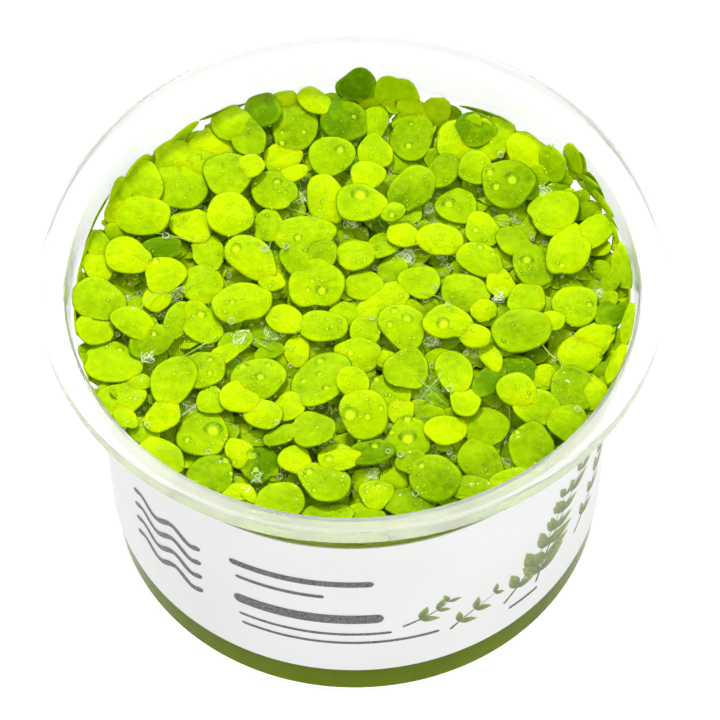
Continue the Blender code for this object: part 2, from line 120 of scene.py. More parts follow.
# The plants from the lowest to the topmost. A row is one plant, its fronds
# from the highest down: x, y, half length, half width (mm), the heading of the
# narrow end (degrees) and the tone from 0, yellow-green, to 3, deep green
PLANTS = (
    ((10.3, 34.3, 4.9, 3.5, -95, 2.0),),
    ((-9.0, 36.0, 5.2, 3.9, -100, 2.0), (-10.9, 30.8, 3.6, 2.6, 30, 0.1),
     (-10.3, 41.0, 2.4, 2.2, -80, 0.1)),
    ((2.0, 4.1, 3.2, 3.2, -60, 0.9), (10.8, 4.9, 3.7, 3.2, 170, 1.0),
     (4.8, 1.0, 5.4, 3.0, -145, 0.4)),
    ((0.8, 10.2, 3.7, 3.3, 20, 0.9), (5.0, 12.0, 3.4, 2.6, -130, 1.5)),
    ((14.2, 13.1, 3.9, 3.7, 180, 0.2), (8.6, 13.6, 3.1, 2.6, -20, 0.1)),
    ((0.6, -9.5, 3.9, 3.2, 150, 0.8), (4.8, -10.3, 1.9, 1.7, 170, 0.8),
     (2.0, -5.2, 3.4, 2.6, -100, 1.2)),
    ((26.0, -13.2, 3.4, 2.9, -20, 2.9), (29.7, -14.4, 2.5, 2.4, 160, 0.4)),
    ((-25.8, 17.0, 3.9, 3.3, -60, 0.1), (-24.1, 5.6, 4.3, 3.4, 100, 0.9),
     (-23.2, 11.6, 3.8, 2.8, -80, 0.8)),
    ((-23.7, -24.2, 4.3, 4.2, -35, 1.3), (-18.3, -27.8, 3.1, 2.2, 120, 0.0),
     (-15.3, -29.9, 3.4, 3.3, 150, 2.9)),
    ((-30.0, -28.7, 4.5, 3.0, 130, 0.7), (-32.4, -23.8, 3.6, 2.2, -60, 1.4)),
    ((-24.0, -12.0, 4.1, 3.6, 60, 1.4), (-20.8, -9.0, 2.9, 1.9, -140, 0.4),
     (-22.6, -18.0, 3.1, 2.4, 100, 0.9)),
    ((8.3, -25.9, 4.1, 3.7, 95, 1.4), (7.2, -20.8, 2.7, 2.3, -80, 0.1),
     (6.0, -16.8, 4.0, 3.1, -60, 1.0)),
    ((14.4, -25.0, 3.5, 2.9, 20, 0.0), (19.3, -30.4, 4.3, 3.6, 100, 2.0),
     (20.3, -24.0, 4.1, 3.9, -120, 1.6)),
    ((-10.8, -2.3, 3.5, 2.8, -40, 0.1), (-5.2, -4.0, 4.6, 3.2, 160, 0.9)),
    ((-0.5, 37.0, 4.2, 3.7, 0, 2.8), (4.2, 31.3, 3.4, 3.1, 90, 0.9),
     (4.3, 36.9, 3.2, 2.2, -90, 1.4), (-5.2, 40.4, 3.4, 2.2, -40, 0.4)),
    ((20.4, 34.0, 3.6, 3.2, -10, 2.9), (18.0, 32.8, 4.0, 3.6, 20, 0.4),
     (24.8, 34.5, 4.3, 3.2, -120, 1.0), (28.4, 30.0, 3.6, 3.2, 130, 0.1)),
    ((-27.4, 24.6, 4.9, 4.0, 85, 1.2), (-30.0, 31.4, 4.4, 3.7, -60, 1.0),
     (-24.0, 29.4, 3.7, 2.5, -150, 0.8), (-22.0, 33.0, 4.0, 2.9, -160, 0.1)),
    ((-19.3, 37.3, 3.6, 3.5, -35, 1.0), (-16.5, 33.6, 3.6, 3.0, 110, 2.0),
     (-14.0, 38.6, 3.3, 3.2, -135, 2.8)),
    ((-3.9, 21.8, 4.9, 3.4, 100, 0.4), (-3.0, 29.8, 4.0, 3.8, -95, 1.4)),
    ((-12.3, 23.4, 4.2, 3.9, -70, 1.5), (-7.5, 14.7, 5.3, 4.0, 10, 1.0),
     (-13.4, 16.7, 3.5, 2.6, 80, 1.4), (-9.6, 26.9, 3.0, 1.7, -150, 0.0)),
    ((21.3, 15.3, 4.0, 2.8, 100, 0.8), (17.4, 20.3, 3.8, 3.6, -50, 1.4)),
    ((10.2, 23.8, 5.0, 3.7, 60, 1.9), (15.3, 26.8, 3.5, 2.7, -120, 2.0)),
    ((20.9, 8.4, 4.1, 3.2, -30, 0.9), (23.8, 4.2, 3.0, 2.4, 110, 0.1),
     (18.2, 2.3, 4.0, 3.9, 20, 1.2), (20.8, -1.0, 2.4, 2.3, 130, 0.1)),
    ((29.0, 7.9, 5.2, 3.2, 100, 1.9), (26.2, 12.2, 3.2, 2.7, -50, 1.4),
     (28.0, 0.6, 3.9, 3.1, 60, 1.0)),
    ((35.5, -1.1, 4.1, 3.5, -80, 0.8), (35.6, -10.0, 3.9, 3.3, 60, 0.5),
     (37.8, -7.2, 3.3, 2.5, -150, 0.3), (40.4, -3.1, 2.7, 2.4, -140, 2.9)),
    ((15.9, -13.8, 4.8, 3.1, -80, 1.0), (17.3, -19.8, 3.4, 2.4, 110, 0.4),
     (21.2, -15.8, 4.2, 2.3, -120, 2.9), (21.8, -10.8, 3.6, 1.8, -70, 0.1)),
    ((34.3, -17.4, 4.5, 3.8, 110, 1.9), (39.0, -19.5, 4.0, 2.2, 100, 0.6)),
    ((25.7, -18.7, 3.4, 3.1, -40, 0.4), (28.2, -21.5, 3.9, 3.3, 130, 1.1),
     (27.1, -28.7, 4.5, 3.5, 80, 2.0), (32.6, -24.7, 3.4, 3.2, 150, 1.7)),
    ((3.0, -36.4, 2.9, 2.7, -90, 0.9), (8.0, -38.0, 4.2, 3.0, 170, 2.4),
     (1.6, -40.0, 3.2, 2.0, 150, 1.4), (-4.3, -39.6, 4.0, 2.2, 0, 1.7)),
    ((11.9, -33.8, 4.3, 4.1, 140, 2.0), (8.9, -31.3, 2.8, 2.4, -45, 2.0),
     (17.5, -36.0, 3.6, 2.3, 170, 2.0), (23.4, -34.6, 3.5, 1.9, -170, 1.0)),
    ((-22.2, -32.2, 3.7, 3.4, -40, 2.0), (-11.9, -37.6, 4.0, 3.5, 170, 1.5),
     (-17.9, -35.8, 2.8, 2.0, 150, 0.0)),
    ((-2.6, -30.3, 3.4, 3.1, 10, 0.6), (2.2, -29.3, 3.9, 2.8, -160, 2.6),
     (-5.1, -34.7, 4.8, 3.2, 140, 1.4), (-9.4, -30.4, 3.1, 2.7, -60, 0.1)),
    ((-37.6, -10.4, 4.7, 4.1, -50, 1.0), (-34.0, -14.0, 2.0, 1.9, 120, 1.0),
     (-37.0, -18.0, 4.2, 3.3, 50, 1.0), (-35.4, -21.4, 2.8, 1.7, 120, 0.5)),
    ((-40.7, 1.6, 4.3, 4.2, 80, 1.3), (-40.0, 8.2, 3.1, 2.5, -90, 0.2),
     (-41.0, 12.6, 3.0, 2.2, -80, 0.9), (-40.4, -4.0, 3.4, 2.8, 90, 0.6)),
    ((-35.6, 9.9, 3.6, 3.4, -30, 0.1), (-30.2, 6.4, 3.7, 3.4, -110, 0.2),
     (-31.3, 2.4, 2.9, 2.2, 60, 0.0), (-30.6, 12.0, 3.6, 2.1, 180, 2.9)),
    ((-33.8, 18.0, 4.5, 3.7, 170, 0.8), (-34.7, 25.4, 4.2, 2.9, -85, 1.0),
     (-37.5, 22.5, 4.0, 1.6, -110, 0.9), (-39.6, 21.4, 3.7, 1.8, -105, 0.6)),
    ((-24.3, -2.7, 4.5, 3.1, 110, 1.0), (-28.0, -2.4, 3.8, 2.3, -110, 1.5),
     (-32.0, -6.4, 4.1, 2.9, 30, 1.9), (-34.7, -3.6, 3.8, 2.8, -45, 0.8)),
    ((-5.4, -15.0, 5.8, 4.7, -120, 1.4), (-10.4, -19.6, 3.3, 2.6, 70, 0.4),
     (-6.8, -24.9, 4.1, 3.5, 140, 1.4), (-11.6, -25.4, 3.2, 1.9, 20, 1.5)),
    ((-5.8, 4.3, 4.7, 4.5, 110, 1.0), (-4.6, 9.5, 2.8, 2.4, -80, 1.5),
     (-8.8, 8.8, 3.4, 2.6, -60, 1.4)),
    ((8.0, -4.6, 4.8, 3.8, -85, 1.0), (8.4, -12.6, 4.4, 3.6, 80, 1.5)),
    ((27.0, -6.0, 5.2, 4.3, 10, 1.6), (31.6, -4.3, 2.4, 1.9, 180, 0.4)),
    ((15.3, -4.6, 4.3, 3.2, -30, 0.4), (19.2, -7.4, 2.7, 2.3, 150, 0.0)),
    ((32.6, 17.7, 4.8, 3.9, -75, 1.0), (34.7, 9.7, 5.4, 3.4, 85, 0.5),
     (39.0, 12.9, 4.2, 2.8, -130, 0.9)),
    ((25.5, 23.4, 4.6, 4.1, 150, 1.9), (20.7, 26.4, 3.2, 2.9, -30, 1.0)),
    ((-19.6, 18.2, 4.7, 3.7, 110, 0.3), (-19.8, 26.0, 4.4, 4.2, -80, 1.3),
     (-16.6, 27.4, 2.8, 2.4, -140, 0.2)),
    ((1.8, 19.8, 4.3, 4.0, -20, 1.0), (6.6, 17.7, 2.2, 2.1, 150, 1.0),
     (2.9, 25.6, 3.2, 2.9, -100, 0.5)),
    ((-16.0, 9.0, 5.0, 3.6, -45, 0.4), (-13.2, 5.1, 2.6, 2.0, 130, 0.0),
     (-17.6, 0.7, 5.3, 3.7, 20, 0.7)),
    ((-18.0, -18.3, 3.5, 3.2, -45, 0.0), (-14.6, -21.3, 3.4, 3.0, 130, 0.4),
     (-15.4, -14.4, 4.7, 4.4, -120, 1.4)),
    ((-29.9, -21.0, 3.3, 2.6, 80, 0.3), (-28.6, -14.9, 5.1, 3.6, -100, 1.0)),
    ((1.3, -22.2, 4.6, 4.0, 110, 0.8), (-0.2, -17.0, 3.0, 2.6, -80, 0.4)),
)

# The plants that lean on the wall or stand against it. A seventh number sets a
# frond that far down its own slope, to where the photograph shows it (mm)
LEANING = (
    ((42.2, 5.2, 4.6, 1.6, 97, 0.9),),
    ((42.5, -6.8, 4.2, 1.3, 81, 0.5),),
    ((40.5, -14.4, 4.0, 1.6, 70, 0.0),),
    ((1.4, 42.7, 3.4, 1.3, 178, 2.9, 0.5), (7.9, 42.0, 4.0, 1.4, -11, 0.9, 0.85)),
    ((32.7, 26.5, 3.0, 1.5, 129, 1.4, 0.8),),
    ((36.4, 24.0, 1.9, 0.7, 121, 0.9), (38.5, 20.3, 3.4, 0.7, 118, 2.6)),
)

# Fronds seen half hidden in the gaps: x, y, half length, half width, tone
HALF_HIDDEN = (
    (-32.8, 29.4, 2.6, 2.2, 1.0), (-38.8, 17.0, 1.8, 1.5, 1.0), (-1.2, -1.2, 3.0, 2.4, 1.0),
    (6.6, 7.8, 3.2, 2.6, 1.5), (-18.8, -6.2, 3.4, 2.4, 1.5), (-9.0, -8.0, 3.4, 2.2, 0.2),
    (-13.5, -8.2, 2.8, 1.8, 2.0), (-42.0, 6.2, 2.0, 1.5, 0.5), (-41.0, -8.0, 2.2, 1.6, 0.8),
    (35.2, 3.6, 2.9, 1.8, 2.5), (-15.6, -25.2, 2.6, 1.8, 2.0), (5.9, -33.4, 2.4, 2.3, 1.0),
    (31.5, -29.5, 2.5, 2.0, 1.5), (37.1, 18.8, 2.6, 1.2, 2.0), (24.2, -7.9, 2.4, 2.0, 0.4),
)

# Fronds pressed on the collar: the direction from the middle (degrees), the
# height of the middle, half length, half width (mm), tilt (degrees) and tone
COLLAR_FRONDS = (
    (26, 53.8, 6.0, 1.2, -14, 0.7), (15, 53.3, 3.2, 1.3, 10, 0.1), (2, 53.0, 3.4, 1.4, -8, 0.3),
    (-9, 53.2, 2.8, 1.3, 12, 0.8), (-24, 53.2, 3.6, 1.4, -10, 0.5), (-33, 53.3, 3.4, 1.3, 8, 1.4),
    (-44, 53.2, 3.8, 1.5, -6, 0.9), (35, 55.6, 3.6, 2.7, 80, 0.4), (60, 52.8, 4.6, 0.5, -6, 2.6),
    (31, 54.6, 5.0, 0.6, -25, 1.6), (22, 54.0, 5.5, 0.4, -12, 2.2),
    (118, 53.6, 4.5, 0.5, 6, 2.7), (128, 53.4, 3.2, 1.1, -8, 0.8), (141, 53.5, 3.4, 1.6, 10, 0.2),
    (149, 53.8, 2.6, 1.8, -30, 0.6), (158, 54.3, 5.4, 0.4, -4, 2.7), (164, 53.2, 3.4, 1.1, 8, 0.4),
    (173, 53.0, 3.6, 1.3, -6, 0.2), (184, 53.2, 3.4, 1.5, 10, 0.7), (194, 52.9, 3.8, 1.2, -8, 0.3),
    (204, 53.2, 3.2, 1.4, 8, 0.9), (214, 53.1, 3.6, 1.2, -8, 0.5), (226, 53.2, 3.4, 1.4, 6, 1.1),
)

# Droplets: x, y, radius (mm), read where the camera's rays pass SEEN_LEVEL,
# 7.5 mm under the lip
SEEN_LEVEL = 52.9 * MM
DROPLETS = (
    (1.6, 21.5, 1.3), (-0.8, -22.3, 1.2), (8.2, -27.2, 1.3), (-7.3, -33.1, 0.8),
    (-22.3, -24.7, 1.3), (-16.2, -29.8, 1.1), (26.5, 24.0, 1.2), (-1.5, 31.0, 0.8),
    (-11.9, 24.7, 0.7), (0.9, 38.0, 0.6), (-11.0, 32.7, 0.6), (-11.0, 35.0, 0.4),
    (-7.4, 35.0, 0.5), (10.3, 36.2, 0.4), (9.8, 31.6, 0.7), (6.7, 17.3, 0.6),
    (22.9, 25.7, 0.8), (23.8, 22.6, 0.8), (16.0, 19.3, 1.0), (28.2, 7.5, 0.9),
    (33.8, 6.3, 0.5), (20.2, 13.8, 0.6), (22.8, 8.9, 0.5), (20.8, 10.3, 0.6),
    (-8.6, 13.0, 0.7), (-18.6, 11.0, 0.9), (-31.6, 8.7, 0.7), (-19.2, 0.4, 0.5),
    (-24.2, -2.1, 0.8), (-31.7, -5.7, 0.6), (-37.1, -8.7, 0.6), (-22.8, -11.0, 0.6),
    (-22.8, -13.6, 0.5), (-17.6, -12.5, 0.9), (-14.8, -14.6, 0.8), (-13.6, -12.3, 0.6),
    (-5.3, -11.8, 0.8), (-5.5, -14.2, 0.5), (-8.0, -15.6, 0.5), (-4.4, -17.0, 0.6),
    (-4.9, 2.2, 0.9), (-7.1, 2.4, 0.4), (-6.4, 4.2, 0.5), (8.7, -3.7, 0.9),
    (5.9, -4.9, 0.6), (6.7, -2.2, 0.7), (14.4, -5.0, 1.0), (-0.5, -10.3, 0.6),
    (3.5, -15.5, 0.6), (2.0, -22.8, 0.6), (4.1, -21.2, 0.5), (8.2, -23.5, 0.8),
    (5.7, -25.9, 0.6), (-6.6, -36.5, 0.4), (-4.2, -30.7, 0.7), (3.0, -28.4, 0.8),
    (0.6, -27.3, 0.5), (10.2, -32.4, 0.7), (-26.3, -26.4, 0.6), (-20.3, -30.6, 0.8),
    (-19.5, -33.0, 0.5), (-15.6, -32.3, 0.7), (3.4, -36.0, 0.6), (37.9, -1.8, 0.6),
    (25.4, -26.4, 0.6),
)

# Bubbles in the gaps: x, y (mm), read in the same way
BUBBLES = (
    (-30.0, 13.7), (-10.5, 11.2), (-27.0, 2.8), (-19.4, -3.5), (14.2, 8.6), (13.3, 2.4),
    (15.2, -1.2), (3.0, -3.6), (1.4, 28.7), (24.7, 29.2), (26.2, 15.6), (35.0, -22.3),
    (15.0, -17.8), (5.0, -29.6), (7.0, -30.3), (-12.3, -23.5), (-32.6, -23.5), (-12.0, -33.9),
    (9.1, -37.8), (-23.0, -28.9), (-6.9, -20.8),
)

# Tangled root tufts: x, y, reach (mm) and how white they are
ROOT_TUFTS = (
    (0.0, 15.5, 1.3, 0.8), (8.5, 8.5, 1.8, 1.0), (-8.3, 21.5, 1.5, 0.8), (13.0, 18.5, 1.3, 0.5),
    (-36.0, 1.0, 1.6, 0.9), (-28.5, 2.0, 1.4, 0.9), (39.8, 0.5, 1.5, 0.7), (23.5, 0.5, 1.3, 0.8),
    (19.5, -11.0, 1.2, 0.5), (-26.0, -20.5, 1.5, 0.8), (-32.5, -10.0, 1.4, 0.9),
    (-13.0, -6.3, 1.3, 0.5), (12.0, -18.0, 3.0, 0.2), (12.5, -8.0, 1.6, 1.0),
    (24.0, -32.5, 1.4, 0.6), (-15.5, -34.0, 1.2, 0.6), (2.5, -33.8, 1.2, 0.5),
    (-18.0, -7.0, 1.8, 0.5), (32.0, 21.5, 1.3, 0.9), (-14.0, 11.0, 1.2, 0.5),
)

# Single long roots: x and y of the start and of the end (mm)
LONG_ROOTS = (
    (24.2, -21.5, 23.2, -29.0), (-21.5, -6.3, -27.3, -10.5), (10.0, -15.5, 14.5, -21.0),
    (14.0, -15.0, 9.5, -20.5), (-30.0, 1.5, -25.5, 4.0), (-31.5, 14.5, -26.5, 13.0),
    (-18.5, -5.0, -13.0, -9.5), (11.0, 1.5, 15.5, -1.0), (30.0, -9.5, 33.0, -13.0),
    (-10.0, 19.0, -5.5, 16.5), (5.5, 7.0, 9.0, 10.5), (-34.0, -1.0, -30.0, 3.0),
)

# The gaps between the top fronds: how far out they lie (mm), the heights that
# bubbles and loose roots lie under, and the one that fine droplets lie over
GAP_REACH = 43.0
BUBBLE_LEVEL = 51.1 * MM
ROOT_LEVEL = 51.2 * MM
MIST_LEVEL = 51.0 * MM

# Rules on the unrolled band: x and height of the start, length and width (mm)
RULES = (
    (-21.5, 34.0, 24.0, 1.6), (-20.5, 30.0, 15.0, 0.9), (-21.0, 23.4, 25.0, 2.6),
    (-20.2, 18.8, 25.5, 0.7), (-19.8, 16.2, 33.0, 0.7), (26.0, 13.0, 6.5, 0.7),
)

# Sprigs on the unrolled band: foot, tip and bow of the stem (mm), the number
# of pairs of leaves, and their length (mm)
SPRIGS = (
    ((7.0, 20.0), (15.0, 24.5), 1.0, 3, 4.2), ((15.0, 15.5), (24.0, 21.0), -1.0, 3, 4.2),
    ((25.0, 15.5), (39.0, 34.0), 2.0, 6, 6.0), ((32.0, 15.0), (50.0, 41.5), -3.0, 9, 6.4),
    ((42.5, 17.0), (54.0, 32.0), 1.5, 5, 5.6),
)

# The photograph's side and how far left of its middle, and above it, the middle
# of the lip lands (pixels), and the width of the camera's sensor (mm)
PHOTO_SIDE = 720.0
LIP_LEFT = 8.1
LIP_UP = 87.1
SENSOR = 36.0

# The soft lights: name, place and size (m), and share of the key light's power
LIGHTS = (
    ("key", (-0.12, 0.45, 0.62), 0.13, 1.0),
    ("fill", (0.25, -0.5, 0.55), 0.6, 0.32),
)


def cup_wall(height):
    """Outer radius of the cup's tapered wall."""
    return FOOT_RADIUS + TAPER * height


def filled_to(height):
    """Radius that the medium and the tangle fill the cup to."""
    return cup_wall(height) - (bpy.context.scene.duckweed_cup.wall - OVERLAP)


def cup_inside(height):
    """Radius of the inside of the wall, the shoulder and the collar."""
    if height < WALL_TOP:
        return cup_wall(height) - WALL
    return MM * float(np.interp(height / MM, *INSIDE))


def to_wall(spot, level, lift, push=0.0):
    """Moves a point of a frond out near the wall, lifts it over the shoulder
    and stops it softly at the collar. Its surface lies a lift above it."""
    soft = 0.3 * MM
    radius = spot.length
    near = min(1.0, max(0.0, (radius / MM - PUSH_START) / (PUSH_END - PUSH_START)))
    radius += push * near * near * (3.0 - 2.0 * near)
    if level > CLIMB_LEVEL:
        heights, radii = SHOULDER
        level = max(level, MM * float(np.interp(radius / MM, radii, heights)))
    limit = cup_inside(level) - 0.1 * MM
    over = radius - (limit - soft)
    if over > 0.0:
        radius = limit - soft * math.exp(-over / soft)
    return Vector((*(spot * (radius / max(spot.length, 0.1 * MM))), level + lift))


def plan_step(along, across, heading):
    """A step in plan, given along a heading and across it."""
    cosine, sine = math.cos(heading), math.sin(heading)
    return Vector((along * cosine - across * sine, along * sine + across * cosine))


def anywhere(rng, reach):
    """A random place in plan, spread evenly within a reach."""
    radius = reach * math.sqrt(rng.random())
    turn = rng.uniform(0.0, math.tau)
    return radius * math.cos(turn), radius * math.sin(turn)


# Meshes

def new_mesh(*layers):
    """An empty bmesh with named vertex layers of three numbers each."""
    bm = bmesh.new()
    for name in layers:
        bm.verts.layers.float_vector.new(name)
    return bm


def finished_mesh(bm, name):
    """Turns a bmesh into a mesh and frees it."""
    mesh = bpy.data.meshes.new(name)
    bm.to_mesh(mesh)
    bm.free()
    return mesh


def in_scene(name, data):
    """Makes an object and links it to the scene."""
    made = bpy.data.objects.new(name, data)
    bpy.context.scene.collection.objects.link(made)
    return made


def pattern(build, **sizes):
    """Keeps a small mesh that many pieces repeat."""
    bm = bmesh.new()
    build(bm, **sizes)
    return finished_mesh(bm, "pattern")


def ball(detail):
    return pattern(bmesh.ops.create_icosphere, subdivisions=detail, radius=1.0)


def add_copy(bm, mesh):
    """Adds a copy of a pattern and gives its new vertices."""
    first = len(bm.verts)
    bm.from_mesh(mesh)
    bm.verts.ensure_lookup_table()
    return bm.verts[first:]


def add_piece(bm, name, finishes, slot, nodes=(), closed=True):
    """Makes the mesh a named piece that rides on the cup's body."""
    if closed:
        bmesh.ops.recalc_face_normals(bm, faces=bm.faces)
    made = in_scene(name, finished_mesh(bm, name))
    for finish in finishes if isinstance(finishes, tuple) else (finishes,):
        made.data.materials.append(finish)
    made.data.shade_smooth()
    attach(made, "root")
    if nodes:
        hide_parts(*nodes)


def millimetres(*rows):
    """Rows of an outline that are given in millimetres."""
    return [tuple(value * MM for value in row) for row in rows]


def hold_flat(bm):
    """Adds a point near both ends of every long edge of an outline, so that
    smooth shading stays flat between its corners."""
    margin = 0.15 * MM
    for edge in bm.edges[:]:
        first, last = edge.verts
        length = edge.calc_length()
        if length > 5.0 * margin:
            _, held = bmesh.utils.edge_split(edge, first, margin / length)
            rest = next(item for item in held.link_edges if item.other_vert(held) == last)
            bmesh.utils.edge_split(rest, last, margin / (length - margin))


def turned(outline, steps, start=0.0, turn=math.tau):
    """Spins an outline of (radius, height, corner) about the cup's axis. A
    corner above zero is rounded off over that length."""
    bm = bmesh.new()
    side = Vector((math.cos(start), math.sin(start), 0.0))
    points = [bm.verts.new(side * radius + AXIS * height) for radius, height, _ in outline]
    for pair in zip(points, points[1:]):
        bm.edges.new(pair)
    if outline[0][0] > 0.0:
        bm.edges.new((points[-1], points[0]))
    for corner in sorted({row[2] for row in outline} - {0.0}):
        chosen = [point for point, row in zip(points, outline) if row[2] == corner]
        bmesh.ops.bevel(
            bm, geom=chosen, offset=corner, offset_type="OFFSET", segments=4, profile=0.5,
            affect="VERTICES", material=-1)
    hold_flat(bm)
    bmesh.ops.spin(
        bm, geom=bm.verts[:] + bm.edges[:], cent=(0.0, 0.0, 0.0), axis=AXIS, angle=turn,
        steps=steps, use_merge=turn == math.tau)
    bmesh.ops.remove_doubles(bm, verts=bm.verts, dist=0.004 * MM)
    return bm


# Finishes

class Finish:
    """A material built of nodes round its Principled shader."""

    def __init__(self, name, **sockets):
        self.material = bpy.data.materials.new(name)
        self.material.use_nodes = True
        self.tree = self.material.node_tree
        self.shader = self.tree.nodes["Principled BSDF"]
        self.set(**sockets)

    def set(self, **sockets):
        """Sets the shader's sockets, named with underscores for spaces."""
        for name, value in sockets.items():
            self.fill(self.shader.inputs[name.replace("_", " ")], value)

    def fill(self, socket, value):
        """Links a socket to another one, or sets its number or colour."""
        if isinstance(value, bpy.types.NodeSocket):
            self.tree.links.new(value, socket)
        elif hasattr(value, "__len__"):
            missing = len(socket.default_value) - len(value)
            socket.default_value = tuple(value) + (1.0,) * missing
        else:
            socket.default_value = value

    def node(self, kind, *values, **settings):
        """Adds a node and fills its first sockets."""
        made = self.tree.nodes.new("ShaderNode" + kind)
        for name, value in settings.items():
            setattr(made, name, value)
        for socket, value in zip(made.inputs, values):
            self.fill(socket, value)
        return made

    def math(self, operation, *values):
        return self.node("Math", *values, operation=operation).outputs[0]

    def plus(self, first, *rest):
        for value in rest:
            first = self.math("ADD", first, value)
        return first

    def minus(self, first, second):
        return self.math("SUBTRACT", first, second)

    def times(self, first, second):
        return self.math("MULTIPLY", first, second)

    def distance(self, x, y):
        """How far a point (x, y) is from the middle."""
        return self.math("SQRT", self.plus(self.times(x, x), self.times(y, y)))

    def split(self, vector):
        return self.node("SeparateXYZ", vector).outputs

    def place(self):
        """The piece's own Object coordinates."""
        return self.node("TexCoord").outputs["Object"]

    def layer(self, name):
        """The three numbers of a vertex layer."""
        return self.split(self.node("Attribute", attribute_name=name).outputs["Vector"])

    def noise(self, scale, detail=2.0):
        """Clouds that lie still on the piece."""
        made = self.node("TexNoise", self.place())
        made.inputs["Scale"].default_value = scale
        made.inputs["Detail"].default_value = detail
        return made.outputs["Fac"]

    def span(self, value, low, high, out_low=0.0, out_high=1.0):
        """Maps a value from one range to another, held at its ends."""
        return self.node("MapRange", value, low, high, out_low, out_high,
                         interpolation_type="SMOOTHSTEP").outputs[0]

    def mix(self, share, first, second, blend="MIX"):
        made = self.node("Mix", data_type="RGBA", blend_type=blend)
        for number, value in zip((0, 6, 7), (share, first, second)):
            self.fill(made.inputs[number], value)
        return made.outputs[2]

    def ramp(self, value, *stops):
        made = self.node("ValToRGB", value)
        band = made.color_ramp
        while len(band.elements) < len(stops):
            band.elements.new(1.0)
        for element, (position, colour) in zip(band.elements, stops):
            element.position = position
            element.color = (*colour, 1.0)
        return made.outputs[0]

    def bump(self, height, distance, strength):
        made = self.node("Bump")
        made.inputs["Strength"].default_value = strength
        made.inputs["Distance"].default_value = distance
        self.fill(made.inputs["Height"], height)
        self.set(Normal=made.outputs[0])


def plastic_finish(name, settings, milkiness, roughness, ior, painted_front_tint, reflection):
    """Clear, faintly milky polypropylene with a soft moulded surface, with a painted green tint
    where it stands before the plants, standing in for their light seen through it."""
    made = Finish(name, IOR=ior, Specular_Tint=reflection)
    cloud = made.noise(60.0, 3.0)
    # Share of the painted plant tint, full at the front of the cup
    before = made.span(made.split(made.place())[1], -42.0 * MM, -15.0 * MM, 1.0, 0.0)
    haze = made.span(cloud, 0.2, 0.8, 0.8 * milkiness, 1.2 * milkiness)
    made.set(
        Base_Color=made.mix(before, settings.colour, painted_front_tint),
        Transmission_Weight=made.minus(0.997, haze),
        Roughness=made.span(cloud, 0.3, 0.7, 0.5 * roughness, 1.5 * roughness))
    made.bump(made.noise(900.0), 0.01 * MM, 0.25)
    return made.material


def paper_finish(settings):
    """Coated white paper with the faint unevenness of a wrapped label."""
    made = Finish("label_paper", Specular_IOR_Level=0.3)
    grain = made.noise(1400.0, 3.0)
    cloud = made.noise(45.0)
    white = made.mix(made.span(cloud, 0.3, 0.7), settings.colour, settings.dull_colour)
    fibres = made.mix(grain, (0.7,) * 3, (1.0,) * 3)
    made.set(
        Base_Color=made.mix(0.12, white, fibres, "MULTIPLY"),
        Roughness=made.span(grain, 0.2, 0.8, 0.38, 0.52))
    made.bump(made.plus(grain, made.times(cloud, 6.0)), 0.02 * MM, 0.3)
    return made.material


def print_finish(name, first, second):
    """Ink on the label, from its first colour to its second along a stroke."""
    made = Finish(name, Roughness=0.42, Specular_IOR_Level=0.3)
    along, across, _ = made.layer("stroke")
    screen = made.noise(2600.0, 1.0)
    colour = made.mix(made.span(along, 0.0, 1.0), first, second)
    vein = made.span(made.math("ABSOLUTE", across), 0.0, 0.22, 0.35, 0.0)
    colour = made.mix(vein, colour, tuple(0.55 * value for value in first))
    made.set(Base_Color=made.mix(made.span(screen, 0.3, 0.7, 0.0, 0.16), colour, (0.9,) * 3))
    made.bump(screen, 0.01 * MM, 0.2)
    return made.material


def medium_finish(settings):
    """Olive jelly, paler towards the foot and clouded inside."""
    made = Finish(
        "nutrient_jelly", Specular_IOR_Level=0.0, Subsurface_Weight=0.35,
        Subsurface_Radius=(1.0, 1.2, 0.15), Subsurface_Scale=1.5 * MM)
    cloud = made.noise(130.0, 4.0)
    rise = made.span(made.split(made.place())[2], 1.5 * MM, 9.0 * MM)
    colour = made.mix(rise, settings.foot_colour, settings.colour)
    clouded = made.span(cloud, 0.35, 0.75, 0.0, 0.5)
    made.set(
        Base_Color=made.mix(clouded, colour, settings.cloud_colour),
        Roughness=made.span(cloud, 0.3, 0.7, 0.12, 0.3))
    made.bump(cloud, 0.1 * MM, 0.3)
    return made.material


